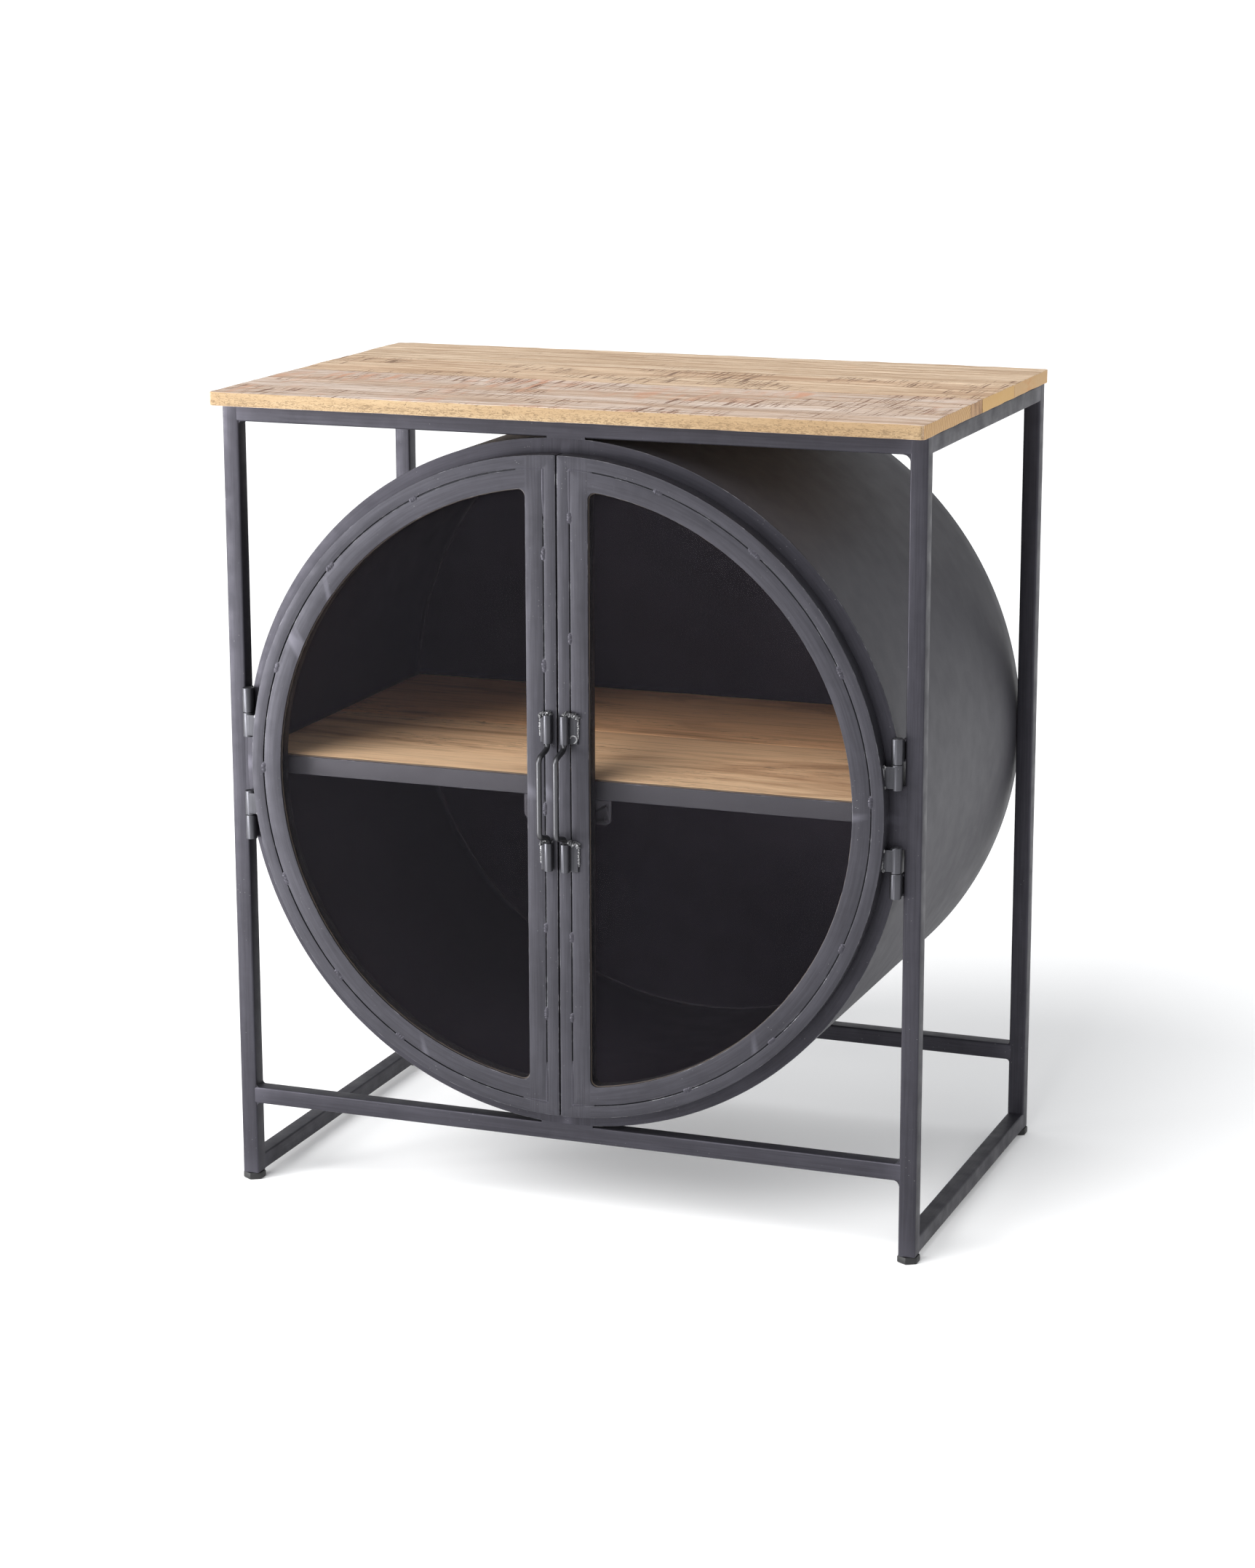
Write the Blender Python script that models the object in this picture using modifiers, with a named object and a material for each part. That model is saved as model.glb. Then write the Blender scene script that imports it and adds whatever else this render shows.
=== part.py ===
"""Round-drum sideboard: a square-tube steel stand that carries a sheet-steel drum lying on its side,
closed by two half-round glazed doors, under a plank top.

Metres, +Z up, +X to the right of someone facing the doors, which look along -Y.
The origin is on the floor, at the centre of the whole sideboard's bounding box.
"""
import math

import bmesh
import bpy
from mathutils import Matrix, Vector

# ---- driving dimensions -------------------------------------------------------------------------
GAP = 0.0003              # between pieces that touch
RUNNING = 0.0001          # radial clearance of a pin or rod in its knuckle

FRAME_W = 0.794           # over the posts
FRAME_D = 0.470           # over the posts
TUBE = 0.019              # square tube, outside
TUBE_WALL = 0.0015
TUBE_CORNER = 0.0020
BASE_H = 0.084            # from the posts' lower ends to the rails under the drum

FOOT_H = 0.008            # how much of each glide shows
FOOT_ACROSS = 0.022       # its hexagon, across the flats
PLUG_H = 0.020            # the glide's plug inside the post

TOP_SIDE = 0.003          # overhang past the posts, on each side
TOP_T = 0.015
TOP_FRONT = 0.026         # overhang in front of the posts
TOP_REAR = 0.004          # overhang behind them
PLANK_SHARES = (0.44, 0.26, 0.30)   # widths of the top's planks, front to rear

SCREW_R = 0.002
SCREW_HOLE_R = 0.0025
SCREW_HEAD_R = 0.004
SCREW_HEAD_H = 0.0022
SCREW_HEAD_TIP_R = 0.0024
SCREW_BITE = 0.0095       # into the top
SCREW_INSET = 0.110       # from the frame's front and rear faces

SHEET = 0.0015            # drum sheet
RING_FACE = 0.026         # width of the drum's front ring
RING_T = 0.003
BACK_INSET = 0.002        # the back disc sits this far inside the drum's rear edge

SHELF_RISE = 0.010        # shelf's upper face above the drum's centre
SHELF_T = 0.018
SHELF_SETBACK = 0.007     # shelf angle behind the frame's front
ANGLE = 0.020             # legs of the steel angle that carries the shelf
ANGLE_T = 0.0025

CATCH_W = 0.044           # plate hanging under the shelf angle
CATCH_H = 0.027
CATCH_T = 0.002
CATCH_IN = 0.006          # its inner edge from the middle of the sideboard
CATCH_HOLE_R = 0.0017
CATCH_HOLE_INSET = 0.006
CATCH_HOLE_PITCH = 0.014
MAGNET_W = 0.024
MAGNET_H = 0.014

RING_SHOWN = 0.0157       # the drum's rim outside the closed doors
DOOR_PROUD = 0.020        # door faces in front of the posts
DOOR_BACK_GAP = 0.0005    # door rims clear of the drum ring
DOOR_SPLIT = 0.0018       # between the two doors
OUTER_STRIP = 0.0135
INNER_STRIP = 0.020
SLIT = 0.0009             # between the two strips
STRIP_T = 0.003
GLASS_T = 0.004
GLASS_LAP = 0.017         # glass behind the inner strip

HINGE_RISE = 0.058        # hinges above and below the drum's centre
KNUCKLE_R = 0.0062
KNUCKLE_LEN = 0.0272
KNUCKLE_GAP = 0.0004
PIN_R = 0.003
LEAF_T = 0.0028
LEAF_TANGENT = 0.0001     # leaf faces just inside the knuckle's outside
LEAF_BACK = 0.014         # fixed leaf along the post, behind the frame's front
LEAF_TRIM = 0.002         # leaf shorter than its knuckle, at each end

HANDLE_X = 0.0095         # handle axes from the middle of the sideboard
HANDLE_REACH = 0.025      # grip in front of the handle's axis
ROD_R = 0.003
SOCKET_R = 0.0049
SOCKET_LEN = 0.031
SOCKET_RISE = 0.070       # sockets above and below the drum's centre
SOCKET_LEAF_W = 0.014
SOCKET_LEAF_T = 0.002
JOG_DROP = 0.0055         # bends start this far inside the sockets' inner ends
JOG_SLOPE = 0.006
BEND_R = 0.006

DRUM_SEGMENTS = 72
DOOR_STEPS = 45
SMALL_SEGMENTS = 16
BEND_STEPS = 4
WELD_DISTANCE = 0.000002
SHARP_ANGLE = math.radians(35)

# ---- derived positions --------------------------------------------------------------------------
INNER_HALF = FRAME_W / 2 - TUBE
DRUM_R = INNER_HALF - GAP
SHELL_IN = DRUM_R - SHEET

HANDLE_AXIS_OUT = DOOR_PROUD + GAP + SOCKET_R
OVERALL_FRONT = HANDLE_AXIS_OUT + HANDLE_REACH + ROD_R
FRONT = OVERALL_FRONT - (OVERALL_FRONT + FRAME_D + TOP_REAR) / 2
REAR = FRONT + FRAME_D

POST_BOTTOM = FOOT_H
LOWER_RAIL_Z = POST_BOTTOM + BASE_H
CENTRE_Z = LOWER_RAIL_Z + TUBE + GAP + DRUM_R
TOP_RAIL_Z = CENTRE_Z + DRUM_R + GAP
POST_TOP = TOP_RAIL_Z + TUBE
TOP_Z = POST_TOP + GAP
TOP_HALF = FRAME_W / 2 + TOP_SIDE

SHELF_TOP = CENTRE_Z + SHELF_RISE
SHELF_BOTTOM = SHELF_TOP - SHELF_T
ANGLE_Z = SHELF_BOTTOM - GAP - ANGLE_T
SHELF_FRONT = FRONT + SHELF_SETBACK
BACK_DISC_FRONT = REAR - BACK_INSET - SHEET
SHELF_REAR = BACK_DISC_FRONT - GAP
SHELF_DROP = CENTRE_Z - ANGLE_Z
SHELL_CLEAR = SHELL_IN * math.cos(math.pi / DRUM_SEGMENTS)     # to the middle of the drum's facets
SHELF_HALF = math.sqrt(SHELL_CLEAR ** 2 - SHELF_DROP ** 2) - GAP

DOOR_R = DRUM_R - RING_SHOWN
DOOR_FRONT = FRONT - DOOR_PROUD
DOOR_BACK = FRONT - DOOR_BACK_GAP
STRIP_BACK = DOOR_FRONT + STRIP_T
HINGE_X = INNER_HALF - GAP - KNUCKLE_R
HINGE_Y = DOOR_BACK - KNUCKLE_R
HANDLE_Y = FRONT - HANDLE_AXIS_OUT

SIDES = {"left": -1, "right": 1}
LEVELS = {"upper": 1, "lower": -1}


# ---- scene and materials ------------------------------------------------------------------------
def new_collection(name):
    collection = bpy.data.collections.new(name)
    bpy.context.scene.collection.children.link(collection)
    return collection


for old in list(bpy.data.objects):
    bpy.data.objects.remove(old, do_unlink=True)
PARTS = new_collection("round_drum_sideboard")
CUTTERS = new_collection("cutters")

FINISHES = {
    "frame_steel": ((0.082, 0.084, 0.092), 0.42, 0.75),
    "drum_steel": ((0.060, 0.061, 0.067), 0.48, 0.70),
    "drum_inside": ((0.018, 0.018, 0.020), 0.60, 0.30),
    "door_steel": ((0.088, 0.090, 0.098), 0.40, 0.78),
    "hinge_steel": ((0.105, 0.106, 0.112), 0.36, 0.85),
    "handle_steel": ((0.120, 0.120, 0.125), 0.30, 0.90),
    "top_wood": ((0.700, 0.500, 0.300), 0.60, 0.0),
    "shelf_wood": ((0.420, 0.230, 0.110), 0.55, 0.0),
    "glide_plastic": ((0.015, 0.015, 0.015), 0.55, 0.0),
    "clear_glass": ((0.900, 0.930, 0.920), 0.05, 0.0),
    "screw_zinc": ((0.450, 0.450, 0.440), 0.35, 0.90),
}


def material(node, finish):
    colour, roughness, metallic = FINISHES[finish]
    mat = bpy.data.materials.new(node)
    mat.use_nodes = True
    shader = mat.node_tree.nodes["Principled BSDF"]
    shader.inputs["Base Color"].default_value = (*colour, 1.0)
    shader.inputs["Roughness"].default_value = roughness
    shader.inputs["Metallic"].default_value = metallic
    if finish == "clear_glass":
        shader.inputs["Transmission Weight"].default_value = 1.0
        shader.inputs["IOR"].default_value = 1.5
    return mat


def add_part(obj, finish, smooth=False):
    for collection in list(obj.users_collection):
        collection.objects.unlink(obj)
    PARTS.objects.link(obj)
    obj.data.materials.clear()
    obj.data.materials.append(material(obj.name, finish))
    if smooth:
        obj.data.shade_smooth()
        obj.data.set_sharp_from_angle(angle=SHARP_ANGLE)
    return obj


def add_cutter(obj):
    for collection in list(obj.users_collection):
        collection.objects.unlink(obj)
    CUTTERS.objects.link(obj)
    obj.hide_render = True
    obj.display_type = "WIRE"
    return obj


# ---- outlines, as lists of (u, v) points --------------------------------------------------------
def rectangle(u0, u1, v0, v1):
    return [(u0, v0), (u1, v0), (u1, v1), (u0, v1)]


def rounded_square(side, corner, steps=2):
    half = side / 2 - corner
    points = []
    for quarter, (su, sv) in enumerate(((1, 1), (-1, 1), (-1, -1), (1, -1))):
        for step in range(steps + 1):
            angle = math.pi / 2 * (quarter + step / steps)
            points.append((su * half + corner * math.cos(angle), sv * half + corner * math.sin(angle)))
    return points


def circle(radius, segments, centre=(0.0, 0.0), turn=0.0):
    angles = [turn + 2 * math.pi * step / segments for step in range(segments)]
    return [(centre[0] + radius * math.cos(a), centre[1] + radius * math.sin(a)) for a in angles]


def half_round(radius, inset, side):
    """D outline: an arc about the drum's axis, closed by an upright line at the inset."""
    reach = math.acos(inset / radius)
    points = []
    for step in range(DOOR_STEPS + 1):
        angle = reach * (2 * step / DOOR_STEPS - 1)
        points.append((side * radius * math.cos(angle), CENTRE_Z + radius * math.sin(angle)))
    return points


# ---- solids -------------------------------------------------------------------------------------
TURNS = {
    "X": Matrix(((0, 0, 1), (1, 0, 0), (0, 1, 0))).to_4x4(),   # outline is (y, z)
    "Y": Matrix(((1, 0, 0), (0, 0, -1), (0, 1, 0))).to_4x4(),  # outline is (x, z)
    "Z": Matrix.Identity(4),                                   # outline is (x, y)
}


def mesh_from_curve(curve_obj, name):
    """The evaluated curve as a mesh object of its own, with its caps welded on."""
    bpy.context.view_layer.update()
    evaluated = curve_obj.evaluated_get(bpy.context.evaluated_depsgraph_get())
    mesh = bpy.data.meshes.new_from_object(evaluated)
    mesh.name = name
    bm = bmesh.new()
    bm.from_mesh(mesh)
    bmesh.ops.remove_doubles(bm, verts=bm.verts, dist=WELD_DISTANCE)
    bmesh.ops.recalc_face_normals(bm, faces=bm.faces)
    bm.to_mesh(mesh)
    bm.free()
    place = curve_obj.matrix_world.copy()
    curve = curve_obj.data
    bpy.data.objects.remove(curve_obj, do_unlink=True)
    bpy.data.curves.remove(curve)
    obj = bpy.data.objects.new(name, mesh)
    bpy.context.scene.collection.objects.link(obj)
    obj.matrix_world = place
    return obj


def extrusion(name, outlines, start, end, axis, at=(0.0, 0.0)):
    """Flat outlines (the first is the outside, the others are holes) drawn out along an axis."""
    curve = bpy.data.curves.new(name, "CURVE")
    curve.dimensions = "2D"
    curve.fill_mode = "BOTH"
    curve.extrude = (end - start) / 2
    for outline in outlines:
        spline = curve.splines.new("POLY")
        spline.points.add(len(outline) - 1)
        spline.use_cyclic_u = True
        for point, (u, v) in zip(spline.points, outline):
            point.co = (u, v, 0.0, 1.0)
    obj = bpy.data.objects.new("outline", curve)
    bpy.context.scene.collection.objects.link(obj)
    along = (start + end) / 2
    if axis == "Y":
        along = -along
    obj.matrix_world = TURNS[axis] @ Matrix.Translation((at[0], at[1], along))
    return mesh_from_curve(obj, name)


def box(name, low, high):
    bpy.ops.mesh.primitive_cube_add(size=1.0)
    obj = bpy.context.object
    obj.name = name
    low, high = Vector(low), Vector(high)
    obj.data.transform(Matrix.Diagonal((high - low)).to_4x4())
    obj.location = (low + high) / 2
    return obj


def turned(name, profile, place):
    """A profile of (radius, height) points, from the top centre down its outside, turned about Z."""
    mesh = bpy.data.meshes.new(name)
    mesh.from_pydata([(r, 0.0, z) for r, z in profile], [(i, i + 1) for i in range(len(profile) - 1)], [])
    obj = bpy.data.objects.new(name, mesh)
    bpy.context.scene.collection.objects.link(obj)
    obj.location = place
    screw = obj.modifiers.new("turn", "SCREW")
    screw.axis = "Z"
    screw.angle = 2 * math.pi
    screw.steps = SMALL_SEGMENTS
    screw.render_steps = SMALL_SEGMENTS
    screw.use_merge_vertices = True
    screw.merge_threshold = 0.00001
    screw.use_smooth_shade = False
    return obj


def combine(obj, other, operation):
    add_cutter(other)
    boolean = obj.modifiers.new(other.name, "BOOLEAN")
    boolean.operation = operation
    boolean.solver = "EXACT"
    boolean.object = other
    return obj


def mirrored(low, high, side):
    """A box's x range on the left or right side."""
    return (low, high) if side > 0 else (-high, -low)


# ---- stand --------------------------------------------------------------------------------------
def tube(name, start, end, axis, at):
    outside = rounded_square(TUBE, TUBE_CORNER)
    bore = TUBE - 2 * TUBE_WALL
    inside = rounded_square(bore, TUBE_CORNER / 2)
    return add_part(extrusion(name, [outside, inside], start, end, axis, at), "frame_steel")


def build_stand():
    post_x = FRAME_W / 2 - TUBE / 2
    post_y = {"front": FRONT + TUBE / 2, "rear": REAR - TUBE / 2}
    across = INNER_HALF - GAP
    along = (FRONT + TUBE + GAP, REAR - TUBE - GAP)
    for side_name, side in SIDES.items():
        for end_name, y in post_y.items():
            tube("post_%s_%s" % (end_name, side_name), POST_BOTTOM, POST_TOP, "Z", (side * post_x, y))
            build_foot("foot_%s_%s" % (end_name, side_name), side * post_x, y)
        rail = tube("top_rail_%s" % side_name, *along, "Y", (side * post_x, TOP_RAIL_Z + TUBE / 2))
        for y in (FRONT + SCREW_INSET, REAR - SCREW_INSET):
            combine(rail, screw_hole(SCREW_HOLE_R, side * post_x, y), "DIFFERENCE")
        tube("floor_rail_%s" % side_name, *along, "Y", (side * post_x, POST_BOTTOM + TUBE / 2))
    for end_name, y in post_y.items():
        tube("top_rail_%s" % end_name, -across, across, "X", (y, TOP_RAIL_Z + TUBE / 2))
        tube("drum_rail_%s" % end_name, -across, across, "X", (y, LOWER_RAIL_Z + TUBE / 2))


def build_foot(name, x, y):
    """Hexagonal plastic glide with a square plug that is pushed into the post."""
    pad_r = FOOT_ACROSS / math.sqrt(3)
    foot = extrusion(name, [circle(pad_r, 6, turn=math.pi / 6)], 0.0, FOOT_H - GAP, "Z", (x, y))
    plug_side = TUBE - 2 * TUBE_WALL - 2 * GAP
    plug = extrusion("cut_plug_" + name, [rounded_square(plug_side, TUBE_CORNER)],
                     FOOT_H / 2, FOOT_H + PLUG_H, "Z", (x, y))
    add_part(combine(foot, plug, "UNION"), "glide_plastic")


# ---- top ----------------------------------------------------------------------------------------
def screw_hole(radius, x, y):
    name = "cut_hole_%d_%d_%d" % (round(radius * 1e4), round(x * 1e3), round(y * 1e3))
    return extrusion(name, [circle(radius, SMALL_SEGMENTS)], TOP_RAIL_Z - GAP,
                     TOP_Z + SCREW_BITE + GAP, "Z", (x, y))


def build_top():
    depth = TOP_FRONT + FRAME_D + TOP_REAR
    start = FRONT - TOP_FRONT
    planks = []
    for name, share in zip(("front", "middle", "rear"), PLANK_SHARES):
        end = start + share * depth
        last = name == "rear"
        plank = box("top_plank_" + name, (-TOP_HALF, start, TOP_Z),
                    (TOP_HALF, end if last else end - GAP, TOP_Z + TOP_T))
        planks.append(add_part(plank, "top_wood"))
        start = end
    screw_x = FRAME_W / 2 - TUBE / 2
    places = {"front": (FRONT + SCREW_INSET, planks[0]), "rear": (REAR - SCREW_INSET, planks[-1])}
    for side_name, side in SIDES.items():
        for end_name, (y, plank) in places.items():
            combine(plank, screw_hole(SCREW_R + RUNNING, side * screw_x, y), "DIFFERENCE")
            build_screw("top_screw_%s_%s" % (end_name, side_name), side * screw_x, y)


def build_screw(name, x, y):
    seat = TOP_RAIL_Z - GAP
    profile = [(0.0, TOP_Z + SCREW_BITE), (SCREW_R, TOP_Z + SCREW_BITE - SCREW_R),
               (SCREW_R, seat), (SCREW_HEAD_R, seat), (SCREW_HEAD_R, seat - SCREW_HEAD_H / 2),
               (SCREW_HEAD_TIP_R, seat - SCREW_HEAD_H), (0.0, seat - SCREW_HEAD_H)]
    add_part(turned(name, profile, (x, y, 0.0)), "screw_zinc")


# ---- drum and shelf -----------------------------------------------------------------------------
def build_drum():
    centre = (0.0, CENTRE_Z)
    outside = circle(DRUM_R, DRUM_SEGMENTS)
    ring = extrusion("drum_front_ring", [outside, circle(DRUM_R - RING_FACE, DRUM_SEGMENTS)],
                     FRONT, FRONT + RING_T, "Y", centre)
    add_part(ring, "frame_steel", smooth=True)
    shell = extrusion("drum_shell", [outside, circle(SHELL_IN, DRUM_SEGMENTS)],
                      FRONT + RING_T + GAP, REAR, "Y", centre)
    add_part(shell, "drum_steel", smooth=True)
    disc = extrusion("drum_back", [circle(SHELL_IN - GAP, DRUM_SEGMENTS)],
                     BACK_DISC_FRONT, BACK_DISC_FRONT + SHEET, "Y", centre)
    add_part(disc, "drum_inside", smooth=True)


def angle_outline(edge_y, inward):
    """An L with its upright leg at edge_y and its foot pointing inward, under the planks."""
    points = [(0.0, 0.0), (ANGLE, 0.0), (ANGLE, ANGLE_T), (ANGLE_T, ANGLE_T), (ANGLE_T, ANGLE), (0.0, ANGLE)]
    return [(edge_y + inward * u, ANGLE_Z + v) for u, v in points]


def build_shelf():
    for name, outline in (("shelf_angle_front", angle_outline(SHELF_FRONT, 1)),
                          ("shelf_angle_rear", angle_outline(SHELF_REAR, -1))):
        add_part(extrusion(name, [outline], -SHELF_HALF, SHELF_HALF, "X"), "frame_steel")
    foot_ends = (SHELF_FRONT + ANGLE + GAP, SHELF_REAR - ANGLE - GAP)
    for side_name, side in SIDES.items():
        x0, x1 = mirrored(SHELF_HALF - ANGLE, SHELF_HALF, side)
        cleat = box("shelf_cleat_" + side_name, (x0, foot_ends[0], ANGLE_Z),
                    (x1, foot_ends[1], ANGLE_Z + ANGLE_T))
        add_part(cleat, "frame_steel")
    first, last = SHELF_FRONT + ANGLE_T + GAP, SHELF_REAR - ANGLE_T - GAP
    middle = (first + last) / 2
    for name, y0, y1 in (("front", first, middle - GAP), ("rear", middle, last)):
        plank = box("shelf_plank_" + name, (-SHELF_HALF, y0, SHELF_BOTTOM), (SHELF_HALF, y1, SHELF_TOP))
        add_part(plank, "shelf_wood")


def build_catches():
    """A plate with two holes under the shelf angle and a magnet on it, for each door."""
    plate_top = ANGLE_Z - GAP
    plate_bottom = plate_top - CATCH_H
    hole_x = CATCH_IN + CATCH_W - CATCH_HOLE_INSET
    middle = (plate_top + plate_bottom) / 2
    for side_name, side in SIDES.items():
        x0, x1 = mirrored(CATCH_IN, CATCH_IN + CATCH_W, side)
        outlines = [rectangle(x0, x1, plate_bottom, plate_top)]
        for level in LEVELS.values():
            centre = (side * hole_x, middle + level * CATCH_HOLE_PITCH / 2)
            outlines.append(circle(CATCH_HOLE_R, SMALL_SEGMENTS, centre))
        plate = extrusion("catch_plate_" + side_name, outlines, SHELF_FRONT, SHELF_FRONT + CATCH_T, "Y")
        add_part(plate, "frame_steel")
        x0, x1 = mirrored(DOOR_SPLIT / 2 + GAP, DOOR_SPLIT / 2 + GAP + MAGNET_W, side)
        magnet = box("catch_magnet_" + side_name, (x0, DOOR_BACK + GAP, middle - MAGNET_H / 2),
                     (x1, SHELF_FRONT - GAP, middle + MAGNET_H / 2))
        add_part(magnet, "glide_plastic")


# ---- doors --------------------------------------------------------------------------------------
def build_door(side_name, side):
    edge = DOOR_SPLIT / 2
    steps = [0.0, OUTER_STRIP, OUTER_STRIP + SLIT, OUTER_STRIP + SLIT + INNER_STRIP]
    outlines = [half_round(DOOR_R - step, edge + step, side) for step in steps]
    rim = extrusion("door_%s_outer_frame" % side_name, outlines[:2], DOOR_FRONT, DOOR_BACK, "Y")
    pocket = extrusion("cut_pocket_" + side_name, [half_round(DOOR_R - STRIP_T, edge + STRIP_T, side)],
                       STRIP_BACK, DOOR_BACK + GAP, "Y")
    add_part(combine(rim, pocket, "DIFFERENCE"), "door_steel")
    inner = extrusion("door_%s_inner_frame" % side_name, outlines[2:], DOOR_FRONT, STRIP_BACK, "Y")
    add_part(inner, "door_steel")
    pane_step = steps[3] - GLASS_LAP
    pane = extrusion("door_%s_glass" % side_name, [half_round(DOOR_R - pane_step, edge + pane_step, side)],
                     STRIP_BACK + GAP, STRIP_BACK + GAP + GLASS_T, "Y")
    add_part(pane, "clear_glass")


def knuckle(name, z0, z1, axis_x, axis_y, radius, bore):
    return extrusion(name, [circle(radius, SMALL_SEGMENTS), circle(bore, SMALL_SEGMENTS)],
                     z0, z1, "Z", (axis_x, axis_y))


def build_hinge(side_name, side, level_name, level):
    """Fixed knuckle away from the drum's centre height, door knuckle towards it, and a loose pin."""
    tag = "%s_%s" % (side_name, level_name)
    axis_x = side * HINGE_X
    middle = CENTRE_Z + level * HINGE_RISE
    bore = PIN_R + RUNNING

    def heights(direction, trim=0.0):
        near = middle + direction * (KNUCKLE_GAP / 2 + trim)
        far = middle + direction * (KNUCKLE_GAP / 2 + KNUCKLE_LEN - trim)
        return min(near, far), max(near, far)

    fixed = knuckle("hinge_%s_fixed" % tag, *heights(level), axis_x, HINGE_Y, KNUCKLE_R, bore)
    x0, x1 = mirrored(HINGE_X + KNUCKLE_R - LEAF_TANGENT - LEAF_T, HINGE_X + KNUCKLE_R - LEAF_TANGENT, side)
    z0, z1 = heights(level, LEAF_TRIM)
    leaf = box("cut_fixed_leaf_" + tag, (x0, HINGE_Y, z0), (x1, FRONT + LEAF_BACK, z1))
    add_part(combine(fixed, leaf, "UNION"), "hinge_steel", smooth=True)

    moving = knuckle("hinge_%s_door" % tag, *heights(-level), axis_x, HINGE_Y, KNUCKLE_R, bore)
    front_face = HINGE_Y - KNUCKLE_R + LEAF_TANGENT
    z0, z1 = heights(-level, LEAF_TRIM)
    rim_x = math.sqrt(DOOR_R ** 2 - HINGE_RISE ** 2) - STRIP_T
    x0, x1 = mirrored(rim_x, HINGE_X, side)
    tongue = box("cut_door_leaf_" + tag, (x0, front_face, z0), (x1, front_face + LEAF_T, z1))
    combine(moving, tongue, "UNION")
    clear = extrusion("cut_rim_" + tag, [circle(DOOR_R + GAP, 4 * DOOR_STEPS)],
                      DOOR_FRONT, DOOR_BACK, "Y", (0.0, CENTRE_Z))
    combine(moving, clear, "DIFFERENCE")
    add_part(moving, "hinge_steel", smooth=True)

    reach = KNUCKLE_GAP / 2 + KNUCKLE_LEN
    pin = extrusion("hinge_%s_pin" % tag, [circle(PIN_R, SMALL_SEGMENTS)],
                    middle - reach, middle + reach, "Z", (axis_x, HINGE_Y))
    add_part(pin, "hinge_steel", smooth=True)


# ---- handles ------------------------------------------------------------------------------------
def rounded_path(corners, radius):
    """The corners' path with each inner corner replaced by an arc."""
    points = [corners[0]]
    for before, corner, after in zip(corners, corners[1:], corners[2:]):
        back = (before - corner).normalized()
        ahead = (after - corner).normalized()
        half = back.angle(ahead) / 2
        centre = corner + (back + ahead).normalized() * (radius / math.sin(half))
        start = corner + back * (radius / math.tan(half)) - centre
        end = corner + ahead * (radius / math.tan(half)) - centre
        for step in range(BEND_STEPS + 1):
            points.append(centre + radius * start.slerp(end, step / BEND_STEPS))
    points.append(corners[-1])
    return points


def build_handle(side_name, side):
    axis = bpy.data.objects.new("handle_axis_" + side_name, None)
    axis.location = (side * HANDLE_X, HANDLE_Y, CENTRE_Z)
    PARTS.objects.link(axis)
    inner_end = SOCKET_RISE - SOCKET_LEN / 2
    tip = SOCKET_RISE + SOCKET_LEN / 2 - GAP
    jog = inner_end - JOG_DROP
    half = [Vector((0, 0, tip)), Vector((0, 0, jog)), Vector((0, -HANDLE_REACH, jog - JOG_SLOPE))]
    corners = half + [Vector((v.x, v.y, -v.z)) for v in reversed(half)]
    curve = bpy.data.curves.new("handle_%s_rod" % side_name, "CURVE")
    curve.dimensions = "3D"
    curve.bevel_depth = ROD_R
    curve.bevel_resolution = 2
    curve.use_fill_caps = True
    path = rounded_path(corners, BEND_R)
    spline = curve.splines.new("POLY")
    spline.points.add(len(path) - 1)
    for point, place in zip(spline.points, path):
        point.co = (*place, 1.0)
    rod = bpy.data.objects.new("handle_rod", curve)
    bpy.context.scene.collection.objects.link(rod)
    rod = mesh_from_curve(rod, "handle_%s_rod" % side_name)
    rod.parent = axis
    add_part(rod, "handle_steel", smooth=True)
    for level_name, level in LEVELS.items():
        name = "handle_%s_socket_%s" % (side_name, level_name)
        z = CENTRE_Z + level * SOCKET_RISE
        z0, z1 = z - SOCKET_LEN / 2, z + SOCKET_LEN / 2
        socket = knuckle(name, z0, z1, side * HANDLE_X, HANDLE_Y, SOCKET_R, ROD_R + RUNNING)
        face = DOOR_FRONT - GAP
        x0, x1 = mirrored(HANDLE_X + ROD_R, HANDLE_X + SOCKET_LEAF_W, side)
        leaf = box("cut_leaf_" + name, (x0, face - SOCKET_LEAF_T, z0), (x1, face, z1))
        add_part(combine(socket, leaf, "UNION"), "hinge_steel", smooth=True)


build_stand()
build_top()
build_drum()
build_shelf()
build_catches()
for door_side, door_sign in SIDES.items():
    build_door(door_side, door_sign)
    for door_level, level_sign in LEVELS.items():
        build_hinge(door_side, door_sign, door_level, level_sign)
    build_handle(door_side, door_sign)
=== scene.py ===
"""Looks of the round-drum sideboard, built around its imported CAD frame.

Metres, +Z up, the doors look along -Y. Sizes and places come from the frame's own nodes; the
named values below are the fine shape that the frame leaves out: edge rounding, welds and wear.
"""
import math
import random

import bmesh
import bpy
from mathutils import Matrix, Vector, noise


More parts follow.
